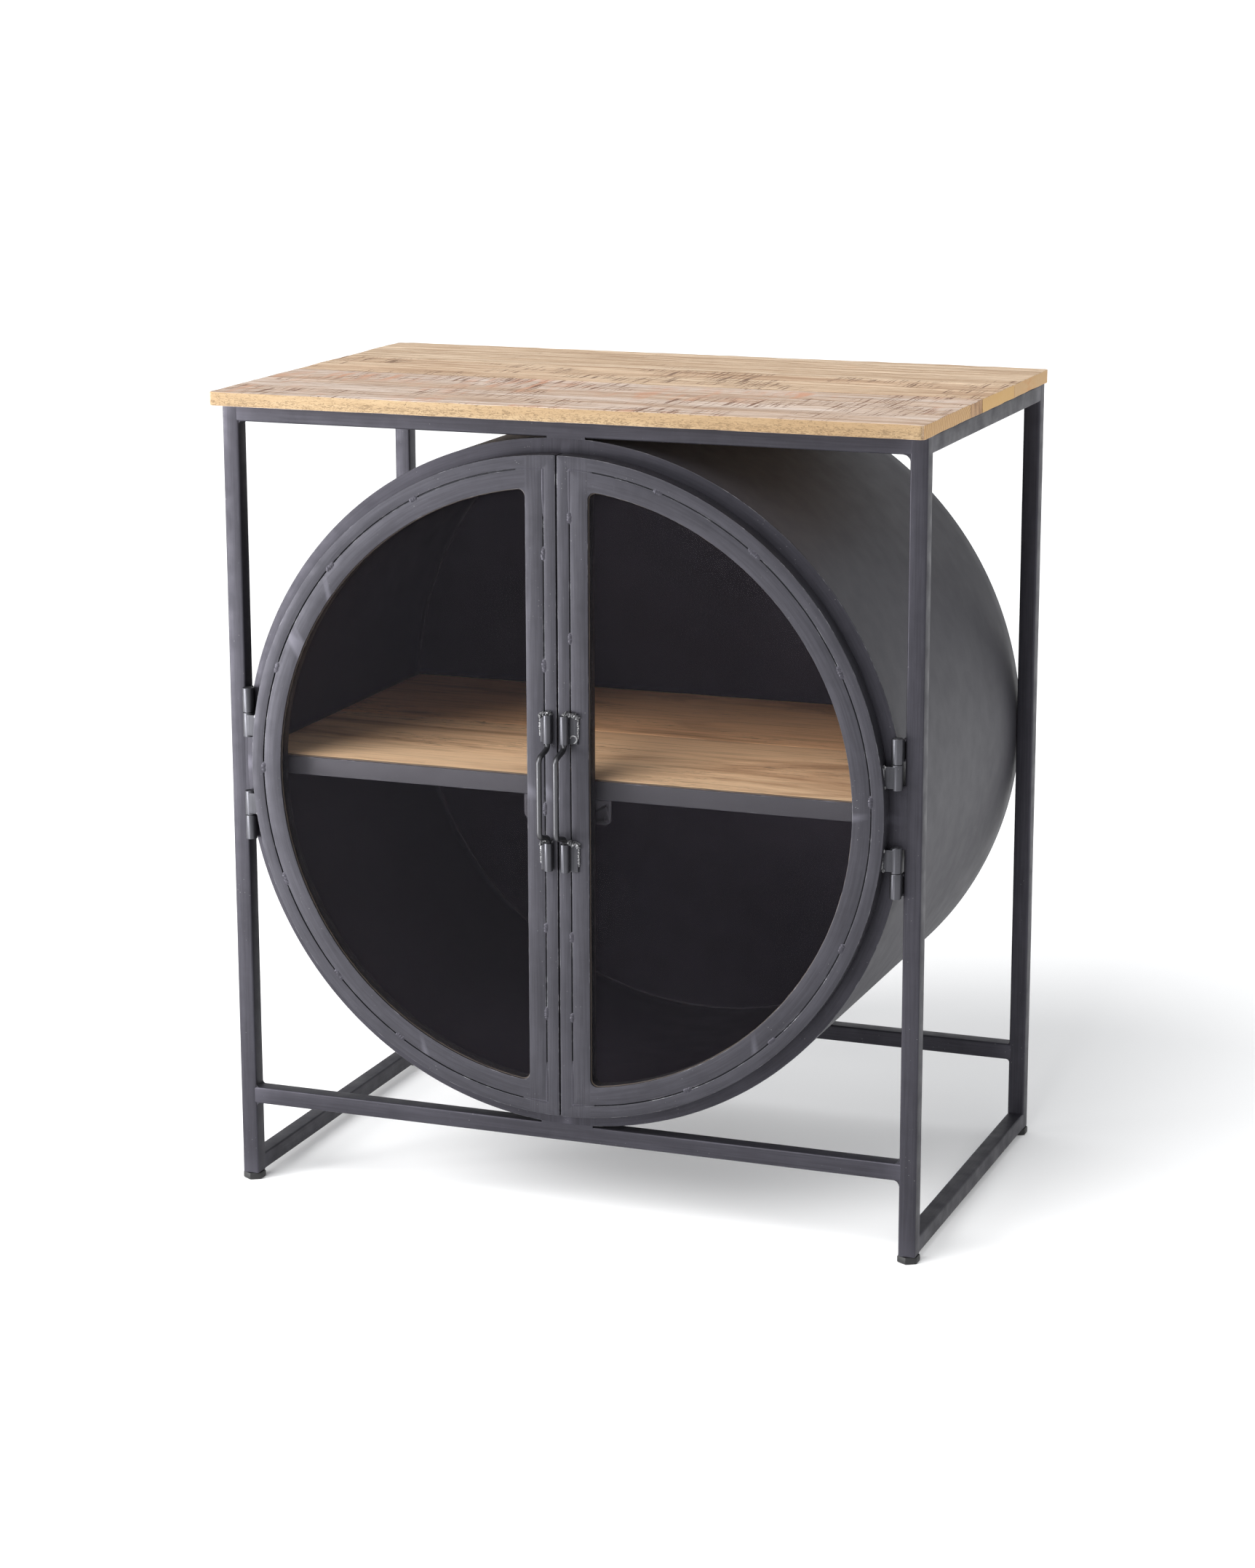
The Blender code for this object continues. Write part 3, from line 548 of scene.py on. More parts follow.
def rounded_path(corners, radius):
    """The corners' path with each inner corner replaced by an arc."""
    points = [corners[0]]
    for before, corner, after in zip(corners, corners[1:], corners[2:]):
        centre, start, end = corner_arc(before, corner, after, radius)
        for step in range(BEND_STEPS + 1):
            points.append(centre + radius * start.slerp(end, step / BEND_STEPS))
    points.append(corners[-1])
    return points


def rectangle(u0, u1, v0, v1):
    return [(u0, v0), (u1, v0), (u1, v1), (u0, v1)]


def door_corner(inset):
    """Corner radius of a door's half-round outline, growing towards the glass."""
    share = min(max((inset - STRIP_STEP) / INNER_STRIP, 0.0), 1.0)
    return STILE_CORNER_R + (GLASS_CORNER_R - STILE_CORNER_R) * share ** 2


def door_loop(side, inset):
    """Points (x, z) of a half-round outline this far inside the door's edge."""
    corner = door_corner(inset)
    radius = DOOR_R - inset
    line = DOOR_EDGE + inset
    centre_u = line + corner
    centre_v = math.sqrt((radius - corner) ** 2 - centre_u ** 2)
    tangent = math.atan2(centre_v, centre_u)
    points = []
    for step in range(ARC_STEPS + 1):
        angle = tangent * (2 * step / ARC_STEPS - 1)
        points.append((radius * math.cos(angle), radius * math.sin(angle)))
    for step in range(1, CORNER_STEPS + 1):
        angle = tangent + (math.pi - tangent) * step / CORNER_STEPS
        points.append((centre_u + corner * math.cos(angle), centre_v + corner * math.sin(angle)))
    for step in range(1, STILE_STEPS + 1):
        points.append((line, centre_v * (1 - 2 * step / STILE_STEPS)))
    for step in range(1, CORNER_STEPS):
        angle = math.pi + (math.pi - tangent) * step / CORNER_STEPS
        points.append((centre_u + corner * math.cos(angle), -centre_v + corner * math.sin(angle)))
    return [(side * u, CENTRE_Z + v) for u, v in points]


# ---- mesh building ----
def on_axis(axis, u, v, w):
    """A point w along an axis; u and v go to the other two axes in order."""
    return {"X": (w, u, v), "Y": (u, w, v), "Z": (u, v, w)}[axis]


def skin(bm, rings, closed=False):
    """Quads between rings of equal length; the ends are joined to each other or capped."""
    rows = [[bm.verts.new(point) for point in ring] for ring in rings]
    pairs = list(zip(rows, rows[1:]))
    if closed:
        pairs.append((rows[-1], rows[0]))
    for low, high in pairs:
        for index in range(len(low)):
            after = (index + 1) % len(low)
            bm.faces.new((low[index], low[after], high[after], high[index]))
    if not closed:
        bm.faces.new(rows[0])
        bm.faces.new(list(reversed(rows[-1])))


def sweep(bm, section, loop):
    """A section of (inset, y) points carried round the loop that belongs to each inset."""
    skin(bm, [[(x, y, z) for x, z in loop(inset)] for inset, y in section], closed=True)


def barrel(bm, bore, radius, z0, z1, x, y, lip=0.0006):
    """An upright barrel with eased ends."""
    section = rounded(rectangle(bore, radius, z0, z1), lip)
    rings = [[(u, v, z) for u, v in circle(r, BARREL_STEPS, x, y)] for r, z in section]
    skin(bm, rings, closed=True)


def prism(bm, outline, start, end, axis="Y"):
    """A flat outline drawn out along an axis."""
    skin(bm, [[on_axis(axis, u, v, w) for u, v in outline] for w in (start, end)])


def bar(bm, outline, start, end, axis, at, ease):
    """A long prism with eased ends and rings along it, so that it can be made a little uneven."""
    count = max(2, round((end - start) / BAR_PITCH))
    stops = [(start + (end - start) * step / count, 0.0) for step in range(1, count)]
    if ease:
        stops = [(start, -ease), (start + ease, 0.0)] + stops + [(end - ease, 0.0), (end, -ease)]
    else:
        stops = [(start, 0.0)] + stops + [(end, 0.0)]
    rings = []
    for w, inset in stops:
        shrunk = [Vector(point) + Vector(point).normalized() * inset for point in outline]
        rings.append([on_axis(axis, at[0] + point.x, at[1] + point.y, w) for point in shrunk])
    skin(bm, rings)


def grid_lines(low, high, first, last, radius, cells, corner):
    """Grid lines of a rounded box on one axis, closer over its rounded ends and its corners."""
    ease = [radius * share for share in (0.0, 0.3, 0.65)]
    inside = [first + (last - first) * step / cells for step in range(cells + 1)]
    if corner:
        extra = [corner * share for share in (0.35, 0.52, 0.68, 0.84, 1.0)]
        inside = sorted(inside + [low + e for e in extra] + [high - e for e in extra])
    return [low + e for e in ease] + inside + [high - e for e in reversed(ease)]


def rounded_box(bm, low, high, radii, cells, corner=0.0):
    """A box as a grid, with elliptic edges; radii and cells are per axis.

    With a corner size, X and Y get extra grid lines within that distance of their ends.
    """
    low, high, radii = Vector(low), Vector(high), Vector(radii)
    inner_low, inner_high = low + radii, high - radii
    lines = [grid_lines(*line) for line in
             zip(low, high, inner_low, inner_high, radii, cells, (corner, corner, 0.0))]
    made = {}

    def vertex(key):
        if key not in made:
            point = Vector(line[index] for line, index in zip(lines, key))
            inner = Vector(max(min(p, h), l) for p, l, h in zip(point, inner_low, inner_high))
            off = Vector((p - n) / max(r, 1e-9) for p, n, r in zip(point, inner, radii))
            if off.length > 1e-9:
                off.normalize()
                point = inner + Vector(o * r for o, r in zip(off, radii))
            made[key] = bm.verts.new(point)
        return made[key]

    counts = [len(line) - 1 for line in lines]
    for fixed in range(3):
        first, second = [axis for axis in range(3) if axis != fixed]
        for stop in (0, counts[fixed]):
            for a in range(counts[first]):
                for b in range(counts[second]):
                    corners = [{fixed: stop, first: a + da, second: b + db}
                               for da, db in ((0, 0), (1, 0), (1, 1), (0, 1))]
                    bm.faces.new([vertex((key[0], key[1], key[2])) for key in corners])


def rod_along(bm, path, radius):
    """A round rod along a path that lies in one upright plane."""
    rings = []
    side = Vector((1, 0, 0))
    for index, point in enumerate(path):
        ahead = path[min(index + 1, len(path) - 1)] - path[max(index - 1, 0)]
        up = ahead.normalized().cross(side)
        rings.append([point + radius * (side * math.cos(a) + up * math.sin(a))
                      for a in angles(ROD_STEPS)])
    skin(bm, rings)


def bead(bm, path, size, up, seed):
    """A weld bead along a path: an oval section, tapered ends, ripples and a seeded unevenness."""
    width, height, lumps = size
    path = [Vector(point) for point in path]
    up = Vector(up).normalized()
    lengths = [0.0]
    for first, second in zip(path, path[1:]):
        lengths.append(lengths[-1] + (second - first).length)
    total = lengths[-1]
    count = max(8, round(total / BEAD_PITCH))
    rings = []
    for stop in range(count + 1):
        share = stop / count
        at = share * total
        leg = max(i for i, value in enumerate(lengths[:-1]) if value <= at + 1e-9)
        span = max(lengths[leg + 1] - lengths[leg], 1e-9)
        centre = path[leg].lerp(path[leg + 1], (at - lengths[leg]) / span)
        across = (path[leg + 1] - path[leg]).normalized().cross(up).normalized()
        taper = math.sqrt(max(1.0 - (2 * share - 1) ** 4, 0.02))
        ripple = 1.0 + 0.08 * math.sin(at / RIPPLE_PITCH * 2 * math.pi)
        ring = []
        for angle in angles(BEAD_STEPS):
            spot = centre + 0.001 * (across * math.cos(angle) + up * math.sin(angle))
            bulge = 1.0 + lumps * noise.noise(spot * 900 + Vector((seed, seed * 2, 0)))
            swell = taper * ripple * bulge
            ring.append(centre + across * (math.cos(angle) * width / 2 * swell)
                        + up * (math.sin(angle) * height * swell))
        rings.append(ring)
    skin(bm, rings)


NOISE_AXES = (Vector((31.4, 2.7, 9.1)), Vector((7.7, 53.2, 4.4)), Vector((12.9, 8.8, 71.3)))


def uneven(bm, amount, size, seed=0.0, axes=(1, 1, 1)):
    """Moves each point a little by smooth noise, the same each run."""
    for vertex in bm.verts:
        spot = vertex.co / size + Vector((seed, seed, seed))
        push = [noise.noise(spot + away) for away in NOISE_AXES]
        vertex.co += Vector(p * a for p, a in zip(push, axes)) * amount


def outward(point, middle=0.0):
    """The direction away from the drum's axis, or from a line beside it."""
    return Vector((point.x - middle, 0.0, point.z - CENTRE_Z)).normalized()


ARRIS_FACING = (-0.97, -0.20)                # Y of a face's normal, between front and side


def mark_arrises(bm):
    """Gives the rounded front arrises of flat strips the second material, the painted edge
    highlight.
    """
    bm.normal_update()
    for face in bm.faces:
        if ARRIS_FACING[0] < face.normal.y < ARRIS_FACING[1]:
            face.material_index = 1


def linked(name, data):
    """A new object with this data, in the scene."""
    obj = bpy.data.objects.new(name, data)
    bpy.context.scene.collection.objects.link(obj)
    return obj


def as_mesh(name, bm):
    mesh = bpy.data.meshes.new(name)
    bm.to_mesh(mesh)
    bm.free()
    return mesh


def add_piece(name, bm, finish, body="frame", replaced=(), sharp=SHARP_ANGLE, glint_and_wear=False):
    bmesh.ops.recalc_face_normals(bm, faces=bm.faces)
    # the flag puts the painted edge highlight material on the front arrises
    if glint_and_wear:
        mark_arrises(bm)
    mesh = as_mesh(name, bm)
    mesh.shade_smooth()
    mesh.set_sharp_from_angle(angle=sharp)
    mesh.materials.append(finish)
    if glint_and_wear:
        mesh.materials.append(GLINT_AND_WEAR_EDGE)
    obj = linked(name, mesh)
    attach(obj, body)
    if replaced:
        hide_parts(*replaced)
    return obj


def cut(obj, bm):
    """Takes a closed mesh away from a piece and keeps the result as the piece's mesh."""
    bmesh.ops.recalc_face_normals(bm, faces=bm.faces)
    cutter = linked("cutter", as_mesh("cutter", bm))
    boolean = obj.modifiers.new("cut", "BOOLEAN")
    boolean.operation = "DIFFERENCE"
    boolean.object = cutter
    bpy.context.view_layer.update()
    evaluated = obj.evaluated_get(bpy.context.evaluated_depsgraph_get())
    result = bpy.data.meshes.new_from_object(evaluated)
    obj.modifiers.remove(boolean)
    spent = (cutter.data, obj.data)
    obj.data = result
    result.name = obj.name
    bpy.data.objects.remove(cutter)
    for mesh in spent:
        bpy.data.meshes.remove(mesh)


# ---- stand ----
def build_stand():
    half = TUBE / 2
    outline = rounded(rectangle(-half, half, -half, half), TUBE_CORNER, 4)

    def tube(node, axis, start, end, at):
        bm = bmesh.new()
        bar(bm, outline, start, end, axis, at, ease=0.0004 if axis == "Z" else 0.0)
        uneven(bm, 0.00012, 0.05, seed=len(node))
        add_piece(node + "_tube", bm, STAND[axis], replaced=[node])

    post_x = FRAME_HALF - half
    post_y = {"front": FRONT + half, "rear": REAR - half}
    across = INNER_HALF + WELD_IN
    along = (FRONT + TUBE - WELD_IN, REAR - TUBE + WELD_IN)
    for side_name, side in SIDES.items():
        for end_name, y in post_y.items():
            node = "post_%s_%s" % (end_name, side_name)
            tube(node, "Z", POST_LOW.z, POST_HIGH.z, (side * post_x, y))
        for level in ("top_rail", "floor_rail"):
            node = "%s_%s" % (level, side_name)
            low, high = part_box(node)
            tube(node, "Y", *along, (side * post_x, (low.z + high.z) / 2))
    for end_name, y in post_y.items():
        for level in ("top_rail", "drum_rail"):
            node = "%s_%s" % (level, end_name)
            low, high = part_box(node)
            tube(node, "X", -across, across, (y, (low.z + high.z) / 2))


def build_corner_welds():
    """Ground fillets in the inner corners where the cross rails meet the posts."""
    small = 0.0030
    wide = {("front", "top_rail", 1): 0.0075, ("front", "drum_rail", 1): 0.0062}
    spots = [(end_name, rail, side, up) for end_name in ENDS
             for rail, ups in (("top_rail", (-1,)), ("drum_rail", (-1, 1)))
             for side in SIDES.values() for up in ups]
    bm = bmesh.new()
    for end_name, rail, side, up in spots:
        low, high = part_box("%s_%s" % (rail, end_name))
        radius = wide.get((end_name, rail, side), small)
        corner = Vector((side * INNER_HALF, low.z if up < 0 else high.z))
        inward = Vector((-side, up))
        centre = corner + inward * radius
        outline = [corner - inward * 0.0006]
        for step in range(FILLET_STEPS + 1):
            angle = math.pi / 2 * step / FILLET_STEPS
            off = Vector((side * math.cos(angle), -up * math.sin(angle)))
            outline.append(centre + off * radius)
        prism(bm, outline, low.y + 0.0012, high.y - 0.0012)
    uneven(bm, 0.0003, 0.004, seed=4)
    add_piece("corner_welds", bm, PATCH_STEEL["X"])


def ring_fill(bm, middle, low, high, reach):
    """Flush fill outside the ring towards the angle middle: low to high across, out to reach."""
    inner, outer = [], []
    for step in range(FILL_STEPS + 1):
        along = low + (high - low) * step / FILL_STEPS
        ragged = 0.0005 * noise.noise(Vector((along * 300, middle, 2.0)))
        inner.append(Vector((math.sqrt((DRUM_R - 0.0006) ** 2 - along ** 2), along)))
        outer.append(Vector((reach + ragged, along)))
    turn = Matrix.Rotation(middle, 2)
    outline = [turn @ point for point in inner + outer[::-1]]
    prism(bm, [(x, CENTRE_Z + z) for x, z in outline], FRONT - 0.00005, FRONT + 0.0032)


def build_ring_welds():
    """Ground-flush fill between the drum's ring and the rails and posts that it touches."""
    cover = TUBE_CORNER + 0.0002
    bm = bmesh.new()
    ring_fill(bm, math.pi / 2, -0.025, 0.018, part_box("top_rail_front")[0].z - CENTRE_Z + cover)
    ring_fill(bm, -math.pi / 2, -0.030, 0.030, CENTRE_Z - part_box("drum_rail_front")[1].z + cover)
    add_piece("ring_rail_welds", bm, PATCH_STEEL["X"])
    bm = bmesh.new()
    for middle in (0.0, math.pi):
        ring_fill(bm, middle, -0.034, 0.034, INNER_HALF + cover)
    add_piece("ring_post_welds", bm, PATCH_STEEL["Z"])


def build_foot(node):
    """A six-sided pad with eased edges and a plug that goes up into the post."""
    low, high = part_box(node)
    centre = (low + high) / 2
    pad = (high.x - low.x) / 2
    shown = POST_LOW.z - low.z - 0.0003
    sixth = math.pi / 6
    bm = bmesh.new()
    rings = []
    profile = ((0.86, 0.0), (0.97, 0.0006), (1.0, 0.0018), (1.0, shown - 0.0012), (0.95, shown))
    for share, z in profile:
        radius = pad * share / math.cos(sixth)
        corners = [(radius * math.cos(sixth + a), radius * math.sin(sixth + a)) for a in angles(6)]
        rings.append([(centre.x + u, centre.y + v, low.z + z) for u, v in rounded(corners, 0.0012)])
    skin(bm, rings)
    plug = TUBE / 2 - 0.0018
    rounded_box(bm, (centre.x - plug, centre.y - plug, low.z + shown - 0.001),
                (centre.x + plug, centre.y + plug, high.z), (0.0008,) * 3, (1, 1, 1))
    add_piece(node + "_glide", bm, BLACK_PLASTIC, replaced=[node])


# ---- top ----
def build_plank(name):
    node = "top_plank_" + name
    low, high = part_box(node)
    middle = name == "middle"
    if name != "rear":
        high.y += PLANK_SEAM - TOP_JOINT
    bm = bmesh.new()
    radii = (0.0011, TOP_JOINT if middle else 0.0009, 0.0010)
    rounded_box(bm, low, high, radii, (90, 28, 2), TOP_CORNER_R)
    if not middle:
        round_corners(bm, *((low.y, 1) if name == "front" else (high.y, -1)))
    axes = (1, 0, 1) if middle else (1, 1, 1)
    uneven(bm, 0.00045, 0.035, seed=len(name), axes=axes)
    uneven(bm, 0.00025, 0.009, seed=len(name) + 3, axes=axes)
    settle_seams(bm, low, high, name)
    add_piece(node + "_sawn", bm, TOP_WOOD[name], replaced=[node], sharp=WOOD_SHARP)


def round_corners(bm, edge_y, inward):
    """Turns the two square plan corners at one long edge into arcs."""
    centre_x = TOP_HIGH.x - TOP_CORNER_R
    centre_y = edge_y + inward * TOP_CORNER_R
    for vertex in bm.verts:
        u = abs(vertex.co.x) - centre_x
        v = (centre_y - vertex.co.y) * inward
        if u > 0 and v > 0:
            shrink = max(u, v) / math.hypot(u, v)
            vertex.co.x = math.copysign(centre_x + u * shrink, vertex.co.x)
            vertex.co.y = centre_y - inward * v * shrink


def settle_seams(bm, low, high, name):
    """Keeps the planks' glued faces flat and in line, so that they still meet."""
    near = 0.0012
    for vertex in bm.verts:
        if name != "front" and vertex.co.y < low.y + near:
            vertex.co.y = max(vertex.co.y, low.y)
        if name != "rear" and vertex.co.y > high.y - near:
            vertex.co.y = min(vertex.co.y, high.y)
        vertex.co.z = max(vertex.co.z, low.z)


# ---- drum ----
def build_shell():
    bm = bmesh.new()
    rear, ease = SHELL_HIGH.y, 0.0002
    length = rear - 0.0006 - RING_BACK
    stops = [length * step / DRUM_RINGS for step in range(DRUM_RINGS + 1)]
    outer = [(0.0, RING_BACK + stop) for stop in stops]
    lip = [(ease, rear - ease), (SHEET / 2, rear), (SHEET - ease, rear - ease)]
    inner = [(SHEET, rear - 0.0006 - stop) for stop in stops]
    sweep(bm, outer + lip + inner, lambda inset: drum_circle(DRUM_R - inset))
    for vertex in bm.verts:
        dent = 0.0006 * min(0.0, noise.noise(vertex.co * 5.0) - 0.1)
        vertex.co += outward(vertex.co) * dent
    add_piece("drum_shell_sheet", bm, SHELL_STEEL, replaced=["drum_shell"])


def build_ring():
    bm = bmesh.new()
    section = rounded(rectangle(0.0, RING_FACE, FRONT, RING_BACK), EDGE_R)
    sweep(bm, section, lambda inset: drum_circle(DRUM_R - inset))
    uneven(bm, 0.00008, 0.04, axes=(1, 0, 1))
    add_piece("drum_ring_face", bm, RING_STEEL, replaced=["drum_front_ring"],
              glint_and_wear=True)


SEAM_PROFILE = ((-0.0004, 0.0002), (0.0014, 0.0002), (0.0010, -0.0007), (0.0004, -0.0012),
                (-0.0004, -0.0015))


def build_back():
    """The slightly bulging back disc and the weld seam that joins it to the shell."""
    low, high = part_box("drum_back")
    radii = [0.02, 0.08, 0.16, 0.24, 0.31, 0.36, DRUM_R - SHEET - 0.0002]
    bm = bmesh.new()
    skin(bm, [[(x, y, z) for x, z in drum_circle(radius)]
              for y, order in ((low.y, radii), (high.y, radii[::-1])) for radius in order])
    for vertex in bm.verts:
        radius = math.hypot(vertex.co.x, vertex.co.z - CENTRE_Z)
        bulge = 0.0012 * max(0.0, 1 - (radius / DRUM_R) ** 2)
        vertex.co.y -= bulge * (1 + noise.noise(vertex.co * 6))
    add_piece("drum_back_disc", bm, BACK_STEEL, replaced=["drum_back"])

    bm = bmesh.new()
    section = [(inset, low.y + y) for inset, y in SEAM_PROFILE]
    sweep(bm, section, lambda inset: drum_circle(DRUM_R - SHEET - inset))
    uneven(bm, 0.0004, 0.006, seed=2)
    add_piece("drum_back_weld", bm, SHADED_SEAM)


# ---- shelf and catches ----
def build_shelf():
    for name in ENDS:
        node = "shelf_plank_" + name
        bm = bmesh.new()
        rounded_box(bm, *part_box(node), (0.0006, 0.0005, 0.0006), (60, 24, 2))
        uneven(bm, 0.0003, 0.04, seed=len(name) + 11, axes=(0, 0, 1))
        add_piece(node + "_board", bm, SHELF_WOOD[name], replaced=[node],
                  sharp=WOOD_SHARP)
    for name, inward in (("front", 1), ("rear", -1)):
        node = "shelf_angle_" + name
        low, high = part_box(node)
        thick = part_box("shelf_cleat_left")[1].z - low.z
        leg = high.z - low.z
        corners = [(0.0, 0.0), (leg, 0.0), (leg, thick), (thick, thick), (thick, leg), (0.0, leg)]
        edge = low.y if inward > 0 else high.y
        bm = bmesh.new()
        outline = [(edge + inward * u, low.z + v) for u, v in rounded(corners, EDGE_R)]
        prism(bm, outline, low.x, high.x, "X")
        add_piece(node + "_iron", bm, PLATE_STEEL, replaced=[node], glint_and_wear=inward > 0)
    for side_name in SIDES:
        node = "shelf_cleat_" + side_name
        bm = bmesh.new()
        rounded_box(bm, *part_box(node), (EDGE_R,) * 3, (2, 8, 1))
        add_piece(node + "_flat", bm, STAND["Y"], replaced=[node])


def build_catch(side_name, side):
    """A thin plate with rounded lower corners and two holes, and the magnet that it carries."""
    hole_r, hole_inset, hole_pitch, corner_r, steps = 0.0017, 0.006, 0.014, 0.007, 6
    node = "catch_plate_" + side_name
    low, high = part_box(node)
    near, far = (low.x, high.x) if side > 0 else (high.x, low.x)
    outline = [(far, high.z)]
    for x, toward, order in ((far, -side, 1), (near, side, -1)):
        for step in range(steps + 1)[::order]:
            angle = math.pi / 2 * step / steps
            outline.append((x + toward * corner_r - toward * corner_r * math.cos(angle),
                            low.z + corner_r - corner_r * math.sin(angle)))
    outline.append((near, high.z))
    bm = bmesh.new()
    prism(bm, outline, low.y, high.y)
    plate = add_piece(node + "_iron", bm, CATCH_STEEL, replaced=[node])
    middle = (low.z + high.z) / 2
    for level in LEVELS.values():
        drill = bmesh.new()
        height = middle + level * hole_pitch / 2
        hole = circle(hole_r, HOLE_STEPS, far - side * hole_inset, height)
        prism(drill, hole, low.y - 0.001, high.y + 0.001)
        cut(plate, drill)
    node = "catch_magnet_" + side_name
    bm = bmesh.new()
    rounded_box(bm, *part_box(node), (0.0008,) * 3, (4, 4, 4))
    add_piece(node + "_block", bm, BLACK_PLASTIC, replaced=[node])


# ---- doors ----
TACK_ANGLES = {"right": (19, 39, 64, 87, 114, 136, 155), "left": (28, 49, 71, 90, 111, 131, 147)}
TACK_HEIGHTS = {"right": (0.786, 0.657, 0.330, 0.240), "left": (0.746, 0.626, 0.470, 0.338, 0.242)}
TACK_RISE, TACK_LUMPS = 0.00128, 0.26
SLIT_BEAD = (0.0048, 0.00094, 0.03)          # width, height and lumps, as for every bead
OUT = (0.0, -1.0, 0.0)
PANE_MIDDLE = 0.15           # about half a pane's width


def build_door(side_name, side):
    body = "door_" + side_name
    name = body + "_"
    start, stop = STRIP_STEP + SLIT_WIDER, STRIP_STEP + INNER_STRIP
    reach = OUTER_STRIP - SLIT_WIDER
    lap = reach + HAIR
    behind = STRIP_BACK - SLIT_BACKING
    rim = [(0.0, DOOR_FRONT), (0.0, DOOR_BACK), (STRIP_T, DOOR_BACK), (STRIP_T, STRIP_BACK),
           (reach, STRIP_BACK), (reach, DOOR_FRONT)]
    strip = [(start, DOOR_FRONT), (start, behind), (lap, behind), (lap, STRIP_BACK),
             (stop, STRIP_BACK), (stop, DOOR_FRONT)]
    lip = rectangle(stop - LIP_T, stop, PANE_HIGH.y + HAIR, DOOR_BACK - 0.0004)
    swept = (("rim", rounded(rim, EDGE_R), (0.00014, 0.035, side * 2), "outer_frame"),
             ("strip", rounded(strip, 0.0004), (0.00014, 0.03, side * 5), "inner_frame"),
             ("glazing_lip", rounded(lip, 0.0003, 2), (0.00012, 0.02, side * 9), None))
    for label, section, wobble, node in swept:
        bm = bmesh.new()
        sweep(bm, section, lambda inset: door_loop(side, inset))
        uneven(bm, *wobble)
        finish, replaced = (DOOR_STEEL, [name + node]) if node else (PLATE_STEEL, [])
        add_piece(name + label, bm, finish, body, replaced, glint_and_wear=bool(node))
    build_sealant(side_name, side, stop)

    bm = bmesh.new()
    outline = door_loop(side, PANE_STEP)
    skin(bm, [[(x, y, z) for x, z in outline] for y in (PANE_LOW.y, PANE_HIGH.y)])
    add_piece(name + "pane", bm, GLASS, body, [name + "glass"])
    build_slit_welds(side_name, side)


def build_sealant(side_name, side, inset):
    """A thin ragged line of old sealant in the corner of the pane and the strip."""
    bm = bmesh.new()
    line = rectangle(inset - 0.0002, inset + 0.0008, PANE_LOW.y - 0.0007, PANE_LOW.y + HAIR)
    sweep(bm, rounded(line, 0.0002, 2), lambda reach: door_loop(side, reach))
    for vertex in bm.verts:
        ragged = noise.noise(vertex.co * 210.0 + Vector((side, 0, 0)))
        away = outward(vertex.co, side * PANE_MIDDLE)
        if vertex.co.y < PANE_LOW.y - 0.0002:
            vertex.co.y += 0.0003 * ragged
        vertex.co += away * (0.0005 * ragged)
    add_piece("door_%s_sealant" % side_name, bm, SEALANT, "door_" + side_name)


def build_slit_welds(side_name, side):
    """Ground-down weld in the slit between the strips: at the corners, and as short tacks."""
    rng = random.Random(7 + side)
    bm = bmesh.new()
    middle = (OUTER_STRIP + STRIP_STEP) / 2
    face = DOOR_FRONT + 0.00075
    radius = DOOR_R - middle
    line = DOOR_EDGE + middle
    corner_v = math.sqrt(radius ** 2 - line ** 2)
    corner_angle = math.atan2(line, corner_v)

    def on_arc(angle, up=1):
        return (side * radius * math.sin(angle), face, CENTRE_Z + up * radius * math.cos(angle))

    def on_stile(height):
        return (side * line, face, height)

    for up in (1, -1):
        arc_end = corner_angle + (0.027 + rng.uniform(-0.003, 0.006)) / radius
        stile_end = corner_v - 0.043 - rng.uniform(0.0, 0.01)
        shares = [step / 6 for step in range(7)]
        path = [on_arc(arc_end + (corner_angle - arc_end) * share, up) for share in shares]
        path += [on_stile(CENTRE_Z + up * (corner_v + (stile_end - corner_v) * share))
                 for share in shares[1:]]
        bead(bm, path, SLIT_BEAD, OUT, up + side * 3)
    for degrees in TACK_ANGLES[side_name]:
        angle = math.radians(degrees)
        reach = rng.uniform(0.0055, 0.0088) / radius
        path = [on_arc(angle + reach * share) for share in (-1, -0.5, 0, 0.5, 1)]
        bead(bm, path, (rng.uniform(0.0056, 0.0074), TACK_RISE, TACK_LUMPS), OUT, degrees)
    for height in TACK_HEIGHTS[side_name]:
        reach = rng.uniform(0.0055, 0.0085)
        path = [on_stile(height + reach * share) for share in (-1, 0, 1)]
        bead(bm, path, (rng.uniform(0.0054, 0.0068), TACK_RISE, TACK_LUMPS), OUT, height * 100)
    add_piece("door_%s_tacks" % side_name, bm, TACK_STEEL, "door_" + side_name)


